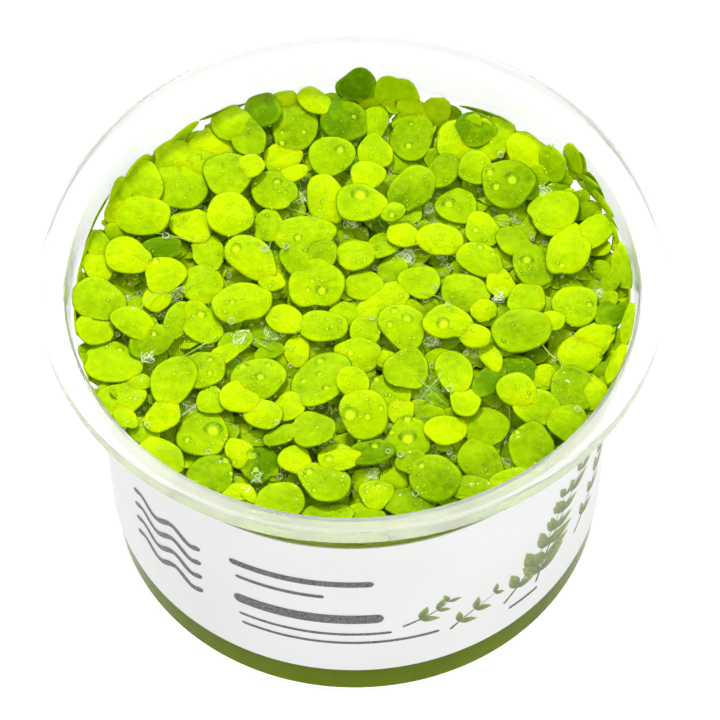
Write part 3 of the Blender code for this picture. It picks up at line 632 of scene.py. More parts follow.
def frond_finish(settings):
    """Wet leaf: tone by frond, veins fanning from the node, a painted highlight along the margin
    inside a thin painted shadow at the rim, darker mottling, a dull under side that also paints
    shade along the edge, and painted shade on fronds deep in the gaps."""
    made = Finish(
        "frond", Specular_IOR_Level=settings.gloss, Specular_Tint=settings.sheen,
        Subsurface_Weight=settings.glow, Subsurface_Radius=(0.7, 1.0, 0.05),
        Subsurface_Scale=0.6 * MM)
    x, y, z = made.layer("blade")
    tone, chance, depth = made.layer("look")
    spread = made.distance(x, y)
    arc = made.math("SQRT", made.math("MAXIMUM", 0.04, made.minus(1.12, made.times(x, x))))
    wobble = made.times(made.minus(made.noise(500.0, 1.0), 0.5), 0.09)
    lane = made.plus(made.math("DIVIDE", y, arc), wobble)
    wave = made.math("COSINE", made.times(lane, 21.0))
    vein = made.times(made.span(wave, 0.72, 1.0), made.span(spread, 0.62, 0.93, 1.0, 0.0))
    mottle = made.plus(made.noise(260.0, 3.0), made.times(made.noise(900.0, 4.0), 0.7))
    lean = made.times(chance, math.tau)
    across = made.plus(
        made.times(x, made.math("COSINE", lean)), made.times(y, made.math("SINE", lean)))
    shade = made.plus(
        made.math("DIVIDE", tone, 3.0),
        made.times(made.minus(mottle, 0.85), settings.mottle),
        made.times(across, 0.11),
        made.times(x, -0.07),
        made.times(vein, 0.018),
        # Painted highlight along the margin, then a thin painted shadow at the very rim
        made.span(spread, 0.72, 0.9, 0.0, -0.12),
        made.span(spread, 0.925, 0.99, 0.0, 0.75))
    colour = made.ramp(shade, *zip((0.0, 0.33, 0.66, 1.0), (
        settings.yellow_green, settings.bright_green, settings.mid_green, settings.deep_green)))
    # The under side is duller green; where it reaches the edge it also paints a dark shadow line
    under = made.span(z, -0.3, 0.05, 1.0, 0.0)
    colour = made.mix(made.times(under, 0.8), colour, settings.dull_under_and_edge_shade)
    fine = made.noise(2400.0)
    made.set(
        # depth mixes in painted shade for fronds deep in the gaps
        Base_Color=made.mix(depth, colour, settings.painted_gap_shade),
        Roughness=made.span(fine, 0.25, 0.75, 0.28, 0.46))
    made.bump(made.plus(
        made.times(vein, -0.3), made.times(fine, 0.35), made.times(made.noise(560.0, 3.0), 6.0)),
              0.1 * MM, 0.9)
    return made.material


def core_finish():
    """The wet tangle deep between the fronds, dark partly by its own colour and partly as painted
    shade of the gaps, and made yellow-green at the wall as painted light.
    """
    made = Finish("wet_tangle", Specular_IOR_Level=0.04, Specular_Tint=(0.7, 1.0, 0.1))
    cloud = made.noise(420.0, 4.0)
    strand = made.noise(1500.0, 3.0)
    x, y, _ = made.split(made.place())
    share = made.span(cloud, 0.3, 0.7)
    # Dark green deep in the bed, partly painted shade of the gaps
    deep = made.mix(share, (0.10, 0.18, 0.0), (0.28, 0.42, 0.0))
    # Painted light: yellow-green next to the wall, brighter than the shade there would leave it
    painted_wall_light = made.mix(share, (0.62, 0.70, 0.10), (0.78, 0.84, 0.18))
    colour = made.mix(made.span(made.distance(x, y), 38.6 * MM, 39.6 * MM), deep, painted_wall_light)
    stranded = made.span(strand, 0.62, 0.75, 0.0, 0.6)
    made.set(
        Base_Color=made.mix(stranded, colour, (0.16, 0.27, 0.03)),
        Roughness=made.span(strand, 0.3, 0.7, 0.2, 0.6))
    made.bump(made.plus(cloud, made.times(strand, 0.4)), 0.6 * MM, 0.8)
    return made.material


def root_finish(name, whiteness):
    """Thin roots, mottled between white and the green of the fronds, with a faint painted glow."""
    made = Finish(
        name, Specular_IOR_Level=0.3, Subsurface_Weight=0.3,
        Subsurface_Radius=(0.8, 1.0, 0.5), Subsurface_Scale=0.2 * MM,
        # Painted glow, standing in for light scattered in the wet root hairs
        Emission_Color=(0.62, 0.75, 0.25), Emission_Strength=0.22)
    cloud = made.plus(made.noise(420.0), whiteness - 0.5)
    made.set(
        Base_Color=made.ramp(
            cloud, (0.2, (0.16, 0.36, 0.01)), (0.5, (0.50, 0.72, 0.12)), (0.75, (0.88, 0.93, 0.80))),
        Roughness=made.span(made.noise(3000.0), 0.3, 0.7, 0.2, 0.45))
    return made.material


def painted_glint_finish():
    """The half clear rims of the bubbles, painted white and faintly glowing: a painted highlight."""
    made = Finish("bubble_glint", IOR=1.33, Transmission_Weight=0.3,
                  Emission_Color=(0.62, 0.75, 0.35), Emission_Strength=0.2)
    cloud = made.noise(1500.0)
    made.set(
        Base_Color=made.mix(cloud, (0.88, 0.96, 0.70), (1.0, 1.0, 0.92)),
        Roughness=made.span(cloud, 0.3, 0.7, 0.02, 0.15))
    return made.material


def water_finish(name, **sockets):
    """Clear water with a barely uneven surface."""
    made = Finish(name, IOR=1.33, Transmission_Weight=1.0, **sockets)
    made.set(Roughness=made.span(made.noise(800.0), 0.3, 0.8, 0.0, 0.03))
    return made


def droplet_finish(name, settings, glow):
    """Water on a leaf: a painted glow, emitted by the water, stands for the light that the droplet
    gathers on its side away from the lamp, within a painted ring of shade."""
    made = water_finish(
        name, Emission_Color=settings.painted_glow_colour, Specular_Tint=(0.4, 0.46, 0.2))
    right, back, up = made.layer("drop")
    ring = made.distance(right, back)
    spot = made.distance(right, made.plus(back, 0.15))
    # Painted glow: an emitted spot standing in for gathered light
    painted_glow_spot = made.times(made.span(spot, 0.26, 0.62, 1.0, 0.0), made.span(up, 0.05, 0.25))
    # The base colour darkens towards the edge as a painted ring of shade
    made.set(
        Base_Color=made.mix(made.span(ring, 0.5, 0.82), (1.0, 1.0, 1.0), settings.painted_ring_shade),
        Emission_Strength=made.times(painted_glow_spot, glow))
    return made.material


# Fronds

class Frond:
    """One frond of a table row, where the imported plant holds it. Near the wall
    it is pushed out by the given length."""

    def __init__(self, row, push):
        x, y, half_length, half_width, heading, self.tone = row[:6]
        self.slide = MM * (row[6] if len(row) > 6 else 0.0)
        self.push = push
        self.centre = Vector((x * MM, y * MM))
        self.half = (half_length * MM, half_width * MM)
        self.heading = math.radians(heading)
        self.plane = (0.0, 0.0, 0.0)
        rim = [self.plan(self.half[0] * math.cos(turn), self.half[1] * math.sin(turn)
                         * (1.0 - NODE_NARROWING * math.cos(turn)))
               for turn in (math.tau * step / 36 for step in range(36))]
        over = max(point.length for point in rim) - WALL_LIMIT
        if over > 0.0:
            self.centre *= 1.0 - over / self.centre.length

    def plan(self, along, across):
        """Plan place of a point given along the frond and across it."""
        return self.centre + plan_step(along, across, self.heading)

    def read_plane(self, tree):
        """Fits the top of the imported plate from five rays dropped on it."""
        hits = []
        for along, across in ((0.0, 0.0), (0.45, 0.0), (-0.45, 0.0), (0.0, 0.4), (0.0, -0.4)):
            spot = self.plan(along * self.half[0], across * self.half[1])
            hit = tree.ray_cast(Vector((*spot, 0.1)), -AXIS)[0]
            if hit is not None:
                hits.append(hit)
        grid = np.array([(1.0, hit.x, hit.y) for hit in hits])
        heights = np.array([hit.z for hit in hits])
        self.plane = tuple(np.linalg.lstsq(grid, heights, rcond=None)[0])

    def place(self, along, across, lift):
        """Where a point of the frond lies, slid down its slope."""
        level, *slope = self.plane
        spot = self.plan(along, across) - self.slide * Vector(slope).normalized()
        level += slope[0] * spot.x + slope[1] * spot.y
        steep = math.hypot(1.0, *slope)
        return to_wall(spot, level - 0.5 * PLATE * steep, lift * steep, self.push)


class FrondHeap:
    """Fronds gathered in one mesh, in the order of their random draws."""

    def __init__(self, blade, rng):
        self.blade = blade
        self.rng = rng
        self.settings = bpy.context.scene.duckweed_frond
        self.bm = new_mesh("blade", "look")

    def add(self, place, half, tone, depth=0.0):
        """One blade: a ball flattened to a thin leaf, domed and bent at random."""
        rng = self.rng
        blade, look = [self.bm.verts.layers.float_vector[name] for name in ("blade", "look")]
        size = 0.5 * (half[0] + half[1])
        crown = size * rng.uniform(0.05, 0.2) * self.settings.doming
        fold = size * rng.uniform(-0.1, 0.05)
        curl = size * rng.uniform(-0.1, 0.04)
        ripple = size * rng.uniform(0.01, 0.045)
        notch = (rng.uniform(-math.pi, math.pi), rng.choice((0.0, 0.0, 0.06, 0.12)))
        phases = [rng.uniform(0.0, math.tau) for _ in range(3)]
        chance = rng.random()
        dent = (rng.uniform(-0.5, 0.5), rng.uniform(-0.5, 0.5), size * rng.uniform(-0.09, 0.03))
        thick = 0.5 * self.settings.thickness
        for vert in add_copy(self.bm, self.blade):
            x, y, z = vert.co
            turn = math.atan2(y, x)
            spread = math.hypot(x, y)
            reach = 1.0 + 0.04 * math.sin(2.0 * turn + phases[0]) + 0.035 * math.sin(
                3.0 * turn + phases[1]) + 0.02 * math.sin(5.0 * turn + phases[2])
            away = (turn - notch[0] + math.pi) % math.tau - math.pi
            reach -= notch[1] * math.exp(-away * away / 0.05)
            middle = crown * (1.0 - spread * spread) + fold * y * y + curl * x * x
            middle += ripple * spread ** 3 * math.sin(4.0 * turn + phases[2])
            middle -= 0.05 * size * math.exp(-((x - 0.5) ** 2 + y * y) / 0.02)
            middle += dent[2] * math.exp(-((x - dent[0]) ** 2 + (y - dent[1]) ** 2) / 0.12)
            lift = middle + thick * math.copysign(math.sqrt(abs(z)), z)
            vert[blade] = (x, y, z)
            # The look layer's third number, depth, is the share of painted shade
            vert[look] = (tone, chance, depth)
            vert.co = place(x * half[0] * reach,
                            y * half[1] * (1.0 - NODE_NARROWING * x) * reach, lift)

    def lay(self, spot, level, half_length, tone, half_width=None, tilt=0.3, depth=0.0,
            rise=(0.0, 0.0)):
        """Lays a small frond flat or tilted at a level."""
        rng = self.rng
        heading = rng.uniform(0.0, math.tau)
        slope = Vector(rise) + Vector((rng.uniform(-tilt, tilt), rng.uniform(-tilt, tilt)))

        def place(along, across, lift):
            step = plan_step(along, across, heading)
            return to_wall(spot + step, level + slope.dot(step), lift)
        half = (half_length * MM, (half_width or half_length * rng.uniform(0.65, 0.9)) * MM)
        self.add(place, half, tone, depth)

    def press(self, turn, height, half, heading, tone, slack, facing):
        """Stands a frond flat against the inside of the wall, facing out or in."""
        depth = self.settings.thickness + self.rng.uniform(0.0, slack) * MM
        squeeze, dome = 0.4, 0.4 * MM

        def place(along, across, lift):
            side, up = plan_step(along, across, heading)
            level = height + up
            radius = cup_inside(level) - depth + squeeze * (facing * lift - dome)
            angle = turn + side / radius
            return Vector((radius * math.cos(angle), radius * math.sin(angle), level))
        self.add(place, half, tone)

    def finish(self, name, slot, nodes=()):
        """Makes the heap a piece in the finish that all fronds share."""
        shared = bpy.data.materials.get("frond") or frond_finish(self.settings)
        add_piece(self.bm, name, shared, slot, nodes)


def mesh_tree(mesh):
    """Search tree of a mesh's surface."""
    return BVHTree.FromPolygons(
        [vert.co for vert in mesh.vertices], [face.vertices for face in mesh.polygons])


def camera_side(settings):
    """Direction from the middle of the lip to the camera."""
    return Vector((0.0, -math.cos(settings.elevation), math.sin(settings.elevation)))


class LeafSurface:
    """What the droplets, bubbles and roots lie on: the plants, the small fronds
    and the tangle."""

    def __init__(self):
        self.trees = [mesh_tree(item.data) for item in bpy.data.objects
                      if item.name.startswith(("plant_", "under_", "bed_"))]
        settings = bpy.context.scene.duckweed_stage
        self.camera = AXIS * LIP + camera_side(settings) * settings.distance

    def seen(self, x, y):
        """What the camera sees through a place 7.5 mm under the lip."""
        through = Vector((x * MM, y * MM, SEEN_LEVEL))
        return self.hit(self.camera, (through - self.camera).normalized())

    def below(self, x, y):
        """What lies straight under a place in plan."""
        return self.hit(Vector((x * MM, y * MM, 0.1)), -AXIS)

    def toward(self, place):
        """Direction from a place to the camera."""
        return (self.camera - place).normalized()

    def hit(self, origin, direction):
        """Place and outward normal of the first surface on a ray."""
        hits = [tree.ray_cast(origin, direction) for tree in self.trees]
        hits = [hit for hit in hits if hit[0] is not None]
        if not hits:
            return None
        place, normal, _, _ = min(hits, key=lambda hit: hit[3])
        return place, normal if normal.dot(direction) < 0.0 else -normal


# Settings

def tint(name, description, default):
    return FloatVectorProperty(
        name=name, description=description, default=default, subtype="COLOR", min=0.0, max=1.0)


def length_value(name, description, default):
    return FloatProperty(name=name, description=description, default=default, unit="LENGTH")


def angle_value(name, description, degrees):
    return FloatProperty(
        name=name, description=description, default=math.radians(degrees), subtype="ANGLE")


def share_value(name, description, default):
    return FloatProperty(
        name=name, description=description, default=default, subtype="FACTOR", min=0.0, max=1.0)


def amount_value(name, description, default):
    return FloatProperty(name=name, description=description, default=default, min=0.0)


def count_value(name, description, default, least=0):
    return IntProperty(name=name, description=description, default=default, min=least)


class CupSettings(bpy.types.PropertyGroup):
    colour: tint("Plastic", "Tint of the clear plastic", (0.92, 0.925, 0.92))
    # Painted tint: the plants' green light seen through the plastic at the front
    painted_front_tint: tint("Front tint", "Tint of the plastic before the plants", (0.94, 0.945, 0.885))
    # Painted tint: the plants' green light seen through the collar at the front
    painted_collar_tint: tint("Collar tint", "Tint of the collar before the plants", (0.82, 0.89, 0.72))
    milkiness: share_value("Milkiness", "Share of light that the thick rim scatters", 0.27)
    reflection: tint("Reflection", "Tint of the wall's reflection", (0.1, 0.12, 0.05))
    wall: length_value("Wall", "Thickness of the cup's wall", WALL)
    steps: count_value("Steps", "Number of faces round the cup", 144, 24)


class LabelSettings(bpy.types.PropertyGroup):
    colour: tint("Paper", "Colour of the paper band", (0.875, 0.88, 0.875))
    dull_colour: tint("Dull paper", "Colour of its duller clouds", (0.85, 0.855, 0.845))
    ink: tint("Ink", "Colour of the grey print", (0.06, 0.06, 0.06))
    leaf_light: tint("Leaf light", "Pale end of the printed leaves", (0.24, 0.34, 0.02))
    leaf_dark: tint("Leaf dark", "Dark end of the printed leaves", (0.08, 0.13, 0.004))
    bottom: length_value("Bottom", "Height of the band's lower edge", 7.5 * MM)
    top: length_value("Top", "Height of the band's upper edge", 44.7 * MM)


class MediumSettings(bpy.types.PropertyGroup):
    colour: tint("Jelly", "Colour of the nutrient medium", (0.11, 0.165, 0.001))
    foot_colour: tint("Foot", "Colour of the medium near the floor", (0.145, 0.21, 0.001))
    cloud_colour: tint("Clouds", "Colour of the clouds in the medium", (0.09, 0.145, 0.0))
    top: length_value("Top", "Height of the medium's surface", 37.0 * MM)


class FrondSettings(bpy.types.PropertyGroup):
    yellow_green: tint("Tone 0", "Youngest, most yellow fronds", (0.58, 0.80, 0.0))
    bright_green: tint("Tone 1", "Bright green fronds", (0.43, 0.68, 0.001))
    mid_green: tint("Tone 2", "Mid green fronds", (0.30, 0.51, 0.001))
    deep_green: tint("Tone 3", "Oldest, deep green fronds", (0.13, 0.29, 0.0))
    # Dull under side, also used as painted shade along each frond's edge
    dull_under_and_edge_shade: tint("Under side", "Dull under side of the fronds", (0.14, 0.30, 0.0))
    # Painted shade for fronds deep in the gaps, mixed in by their depth
    painted_gap_shade: tint("Shade", "Green of the fronds deep in the gaps", (0.10, 0.20, 0.0))
    gloss: share_value("Gloss", "Strength of the wet reflection", 0.13)
    sheen: tint("Sheen", "Tint of the wet reflection", (0.7, 1.0, 0.1))
    glow: share_value("Glow", "Share of light scattered inside the leaf", 0.35)
    mottle: amount_value("Mottle", "Strength of the darker mottling", 0.8)
    thickness: length_value("Thickness", "Thickness of a frond", 0.36 * MM)
    doming: amount_value("Doming", "How high the fronds are domed", 1.0)


class BedSettings(bpy.types.PropertyGroup):
    count: count_value("Fronds", "Number of small fronds under the top plants", 520)
    edge_count: count_value(
        "Edge fronds", "Number of small fronds where the bed meets the wall", 150)
    wall_count: count_value("Wall fronds", "Number of fronds pressed to the wall", 210)
    root_count: count_value("Loose roots", "Number of places tried for a short root", 900)


class DropletSettings(bpy.types.PropertyGroup):
    fine_count: count_value("Mist", "Number of clusters of tiny droplets", 1000)
    bubble_count: count_value("Bubbles", "Number of bubbles in the gaps", 210)
    speck_count: count_value("Specks", "Number of specks of water on the rim", 190)
    # Painted glow: emission standing in for the light a droplet gathers
    glow: amount_value("Glow", "Strength of the light gathered in a droplet", 0.55)
    painted_glow_colour: tint("Glow colour", "Colour of the light gathered on the leaf", (0.66, 0.80, 0.02))
    # Painted shade at the droplet's edge
    painted_ring_shade: tint("Ring", "Tint of the droplet's dark ring", (0.72, 0.86, 0.3))


class StageSettings(bpy.types.PropertyGroup):
    lens: amount_value("Lens", "Focal length of the camera in millimetres", 225.0)
    distance: length_value(
        "Distance", "Camera's distance from the middle of the lip", 714.4 * MM)
    elevation: angle_value("Elevation", "Camera's angle above the horizon", 52.8)
    roll: angle_value("Roll", "Tilt of the camera to one side", -1.23)
    key_power: amount_value("Key light", "Power of the key light in watts", 4.4)
    surround: amount_value("Surround", "Light that the white surround sheds", 0.55)


# Pieces

class DuckweedOperator(bpy.types.Operator):
    """What the operators share"""

    bl_options = {"REGISTER", "UNDO"}


class DUCKWEED_OT_cup(DuckweedOperator):
    """Turns the clear cup with its rim, collar, wall and foot"""

    bl_idname = "duckweed.cup"
    bl_label = "Cup"

    def execute(self, context):
        settings = context.scene.duckweed_cup
        outline = [
            *millimetres((0.0, 1.3, 0.0), (36.4, 1.3, 0.5), (36.9, 0.5, 0.4)),
            (cup_wall(0.0) - settings.wall, 0.5 * MM, 0.45 * MM),
            (cup_wall(WALL_TOP) - settings.wall, WALL_TOP, 0.5 * MM),
            (cup_wall(51.2 * MM) + 0.9 * MM, 51.5 * MM, 0.5 * MM),
            *millimetres(
                (45.0, 52.1, 0.6), (45.6, 58.4, 0.0), (45.8, 58.8, 0.15), (48.4, 58.8, 0.6),
                (49.3, 60.4, 0.3), (50.0, 60.4, 0.14), (50.0, 58.0, 0.15), (46.0, 58.0, 0.4),
                (45.5, 52.4, 0.6), (44.6, 51.3, 0.5)),
            (cup_wall(50.3 * MM) + 0.15 * MM, 50.3 * MM, 0.6 * MM),
            (cup_wall(0.0), 0.0, 0.45 * MM),
            *millimetres((36.9, 0.0, 0.3), (36.4, 0.8, 0.3), (0.0, 0.8, 0.0))]
        bm = turned(outline, settings.steps)
        wall, rim, collar = range(3)  # the places of the finishes below
        for face in bm.faces:
            middle = face.calc_center_median()
            inner = middle.xy.length < MM * np.interp(middle.z / MM, *COLLAR_MIDDLE)
            if middle.z < 51.6 * MM:
                face.material_index = wall
            else:
                face.material_index = collar if inner else rim
        finishes = (
            plastic_finish("clear_wall", settings, 0.0, 0.03, 1.12, settings.painted_front_tint,
                           settings.reflection),
            plastic_finish("milky_rim", settings, settings.milkiness, 0.12, 1.15,
                           settings.painted_front_tint, (0.95, 1.0, 0.92)),
            plastic_finish("clear_collar", settings, 0.05, 0.08, 1.12, settings.painted_collar_tint,
                           (0.9, 1.0, 0.8)))
        add_piece(bm, "clear_cup", finishes, "clear_polypropylene", ("cup",))
        return {"FINISHED"}


class DUCKWEED_OT_label(DuckweedOperator):
    """Wraps the paper band round the cup and prints it"""

    bl_idname = "duckweed.label"
    bl_label = "Label"

    def execute(self, context):
        settings = context.scene.duckweed_label
        seam = math.radians(1.2)
        corners = ((settings.bottom, 0), (settings.bottom, 1), (settings.top, 1), (settings.top, 0))
        outline = [
            (cup_wall(height) + (LABEL_GAP + LABEL_SHEET * side) * MM, height, 0.05 * MM * side)
            for height, side in corners]
        bm = turned(outline, 160, math.pi / 2.0 + seam / 2.0, math.tau - seam)
        bmesh.ops.holes_fill(bm, edges=bm.edges, sides=0)
        add_piece(bm, "paper_label", paper_finish(settings), "label_paper", ("label",))
        self.print_rules(settings)
        self.print_sprigs(settings)
        return {"FINISHED"}

    @staticmethod
    def stroke(bm, path, width, steps):
        """A printed stroke: a grid laid along a path on the unrolled label."""
        layer = bm.verts.layers.float_vector["stroke"]
        grid = bmesh.ops.create_grid(bm, x_segments=steps, y_segments=2, size=1.0)
        for vert in grid["verts"]:
            share, across = 0.5 * (vert.co.x + 1.0), vert.co.y
            here = Vector(path(share))
            ahead = Vector(path(share + 0.01)) - Vector(path(share - 0.01))
            normal = Vector((-ahead.y, ahead.x)).normalized()
            spot = here + normal * (0.5 * across * width(share))
            height = spot.y * MM
            radius = cup_wall(height) + PRINT_LIFT * MM
            turn = spot.x * MM / radius
            vert[layer] = (share, across, 0.0)
            vert.co = (radius * math.sin(turn), -radius * math.cos(turn), height)

    def print_rules(self, settings):
        """Plain grey rules and four water waves."""
        bm = new_mesh("stroke")
        for row in RULES:
            self.rule(bm, *row)
        for row in range(4):
            self.wave(bm, 20.0 + 4.2 * row)
        ink = tuple(settings.ink)
        add_piece(bm, "label_rules", print_finish("grey_ink", ink, ink), "label_paper",
                  closed=False)

    def rule(self, bm, x, z, length, width):
        """A level stroke with round ends."""
        def thick(t):
            left = max(0.0, 1.0 - 2.0 * length * min(t, 1.0 - t) / width)
            return width * math.sqrt(max(0.0, 1.0 - left ** 2))
        self.stroke(bm, lambda t: (x + length * t, z), thick, int(length * 3.0))

    def wave(self, bm, z):
        """Two swells of a wave, thin at both ends."""
        self.stroke(
            bm, lambda t: (-43.0 + 16.0 * t, z + 1.1 * math.sin(4 * math.pi * t)),
            lambda t: 1.3 * min(1.0, 5.0 * math.sqrt(max(0.0, t * (1.0 - t)))), 48)

    def print_sprigs(self, settings):
        """Plain leafy sprigs, thickest on the right."""
        bm = new_mesh("stroke")
        rng = random.Random(3)
        for row in SPRIGS:
            self.sprig(bm, rng, *row)
        bmesh.ops.remove_doubles(bm, verts=bm.verts, dist=0.002 * MM)
        finish = print_finish("leaf_ink", tuple(settings.leaf_dark), tuple(settings.leaf_light))
        add_piece(bm, "label_sprigs", finish, "label_paper", closed=False)

    def sprig(self, bm, rng, foot, tip, bow, pairs, size):
        """A bowed stem with pairs of leaves, smaller towards the tip."""
        def stem(t):
            return (foot[0] + (tip[0] - foot[0]) * t + bow * math.sin(math.pi * t),
                    foot[1] + (tip[1] - foot[1]) * t)
        self.stroke(bm, stem, lambda t: 0.5 * (1.1 - t), 30)
        for step in range(pairs):
            share = (step + 0.8) / pairs
            ahead = Vector(stem(share + 0.01)) - Vector(stem(share))
            for side in (-1.0, 1.0):
                turn = math.atan2(ahead.y, ahead.x) + side * rng.uniform(0.6, 1.15)
                length = size * rng.uniform(0.75, 1.1) * (1.0 - 0.35 * share)
                self.leaf(bm, stem(share), turn, length)

    def leaf(self, bm, foot, turn, length):
        """A pointed leaf, widest below its middle."""
        ahead = (length * math.cos(turn), length * math.sin(turn))
        self.stroke(
            bm, lambda t: (foot[0] + ahead[0] * t, foot[1] + ahead[1] * t),
            lambda t: 0.42 * length * math.sin(math.pi * min(1.0, max(0.0, t)) ** 0.8), 12)


class DUCKWEED_OT_medium(DuckweedOperator):
    """Fills the foot of the cup with the olive nutrient medium"""

    bl_idname = "duckweed.medium"
    bl_label = "Medium"

    def execute(self, context):
        settings = context.scene.duckweed_medium
        top = settings.top
        outline = [
            *millimetres((0.0, 1.2, 0.0), (36.3, 1.2, 0.5), (36.8, 0.4, 0.4)),
            (filled_to(0.0), 0.4 * MM, 0.4 * MM), (filled_to(top), top, 0.4 * MM), (0.0, top, 0.0)]
        bm = turned(outline, context.scene.duckweed_cup.steps)
        finish = medium_finish(settings)
        add_piece(bm, "nutrient_jelly", finish, "nutrient_medium", ("nutrient_medium",))
        return {"FINISHED"}


class DUCKWEED_OT_bed(DuckweedOperator):
    """Heaps the small fronds and the dark tangle that the top plants lie on"""

    bl_idname = "duckweed.bed"
    bl_label = "Bed"

    def execute(self, context):
        settings = context.scene.duckweed_bed
        rng = random.Random(11)
        blade = pattern(bmesh.ops.create_uvsphere, u_segments=16, v_segments=8, radius=1.0)
        self.make_core()
        self.make_under_fronds(FrondHeap(blade, rng), rng, settings)
        self.make_wall_fronds(FrondHeap(blade, rng), rng, settings)
        return {"FINISHED"}

    @staticmethod
    def make_core():
        """The tangle under the small fronds, one lumpy body."""
        bottom, top = 37.2 * MM, 48.9 * MM
        waist, rim = 43.5 * MM, filled_to(top) - 0.9 * MM
        outline = [(0.0, bottom, 0.0), (filled_to(bottom), bottom, 0.0),
                   (filled_to(waist), waist, 0.0), (rim, waist + 0.6 * MM, 0.0)]
        outline += [(rim * step / 24.0, top, 0.0) for step in range(24, -1, -1)]
        bm = turned(outline, 96)
        for vert in bm.verts:
            if vert.co.z > top - 0.1 * MM:
                x, y = vert.co.x / MM, vert.co.y / MM
                vert.co.z += 0.35 * MM * (math.sin(x / 1.7) * math.cos(y / 2.1)
                                          + math.sin((x - 1.3 * y) / 3.4))
        add_piece(bm, "bed_tangle", core_finish(), "duckweed_bed", ("duckweed_bed",))

    @staticmethod
    def make_under_fronds(heap, rng, settings):
        """Small fronds over the whole bed, up the shoulder, and the few that
        show half hidden in the gaps."""
        for step in range(settings.count):
            radius = 39.8 * MM * math.sqrt((step + 0.5) / settings.count)
            turn = step * GOLDEN_TURN
            spot = Vector((radius * math.cos(turn), radius * math.sin(turn)))
            spot += Vector((rng.uniform(-1.0, 1.0), rng.uniform(-1.0, 1.0))) * MM
            # Lower small fronds get more painted shade through depth
            raised = rng.random()
            heap.lay(spot, (49.4 + raised) * MM, rng.uniform(2.0, 3.6), rng.uniform(0.7, 2.3),
                     depth=0.22 - 0.2 * raised)
        for step in range(settings.edge_count):
            turn = math.tau * (step + rng.uniform(-0.4, 0.4)) / settings.edge_count
            side = Vector((math.cos(turn), math.sin(turn)))
            # Edge fronds get a random share of painted shade through depth
            heap.lay(side * rng.uniform(39.6, 42.8) * MM, rng.uniform(50.6, 51.8) * MM,
                     rng.uniform(1.8, 3.0), rng.uniform(0.3, 2.4), depth=rng.uniform(0.0, 0.3),
                     rise=side * rng.uniform(0.2, 0.9))
        for x, y, half_length, half_width, tone in HALF_HIDDEN:
            heap.lay(Vector((x, y)) * MM, 51.0 * MM, half_length, tone, half_width, 0.12)
        heap.finish("under_fronds", "duckweed_bed")

    @staticmethod
    def make_wall_fronds(heap, rng, settings):
        """Fronds pressed to the wall above the label and to the collar. On the
        front of the collar they turn their upper side out."""
        for step in range(settings.wall_count):
            turn = math.tau * step / settings.wall_count + rng.uniform(-0.03, 0.03)
            half = (rng.uniform(2.2, 3.6) * MM, rng.uniform(1.8, 2.8) * MM)
            # Tones below zero paint these fronds paler than any frond: painted light where the rim
            # and label shade them
            heap.press(turn, rng.uniform(42.5, 50.0) * MM, half, rng.uniform(0.0, math.tau),
                       rng.uniform(-1.2, 0.5), 0.3, 1.0)
        for degrees, height, half_length, half_width, tilt, tone in COLLAR_FRONDS:
            turn = math.radians(degrees)
            half = (half_length * MM, half_width * MM)
            facing = 1.0 if math.sin(turn) < -0.3 else -1.0
            heap.press(turn, height * MM, half, math.radians(tilt), tone, 0.2, facing)
        heap.finish("wall_fronds", "duckweed_bed")


class DUCKWEED_OT_plants(DuckweedOperator):
    """Makes every plant on top, frond by frond, in the place of its packed one"""

    bl_idname = "duckweed.plants"
    bl_label = "Plants"

    def execute(self, context):
        blade = pattern(bmesh.ops.create_uvsphere, u_segments=36, v_segments=14, radius=1.0)
        slots = {row["node"]: row["material_slot"] for row in frame["record"]["subparts"]}
        for number, rows in enumerate(PLANTS + LEANING, start=1):
            node = f"duckweed_plant_{number:02d}"
            tree = mesh_tree(frame["nodes"][node].data)
            leaning = number > len(PLANTS)
            fronds = [Frond(row, (1.3 if leaning else 1.0) * MM) for row in rows]
            for frond, drop in zip(fronds, FROND_DROPS):
                if leaning or frond is fronds[0]:
                    frond.read_plane(tree)
                else:
                    level, *slope = fronds[0].plane
                    frond.plane = (level - drop, *slope)
            heap = FrondHeap(blade, random.Random(100 + number))
            for frond in fronds:
                heap.add(frond.place, frond.half, frond.tone)
            heap.finish(f"plant_{number:02d}", slots[node], (node,))
        return {"FINISHED"}


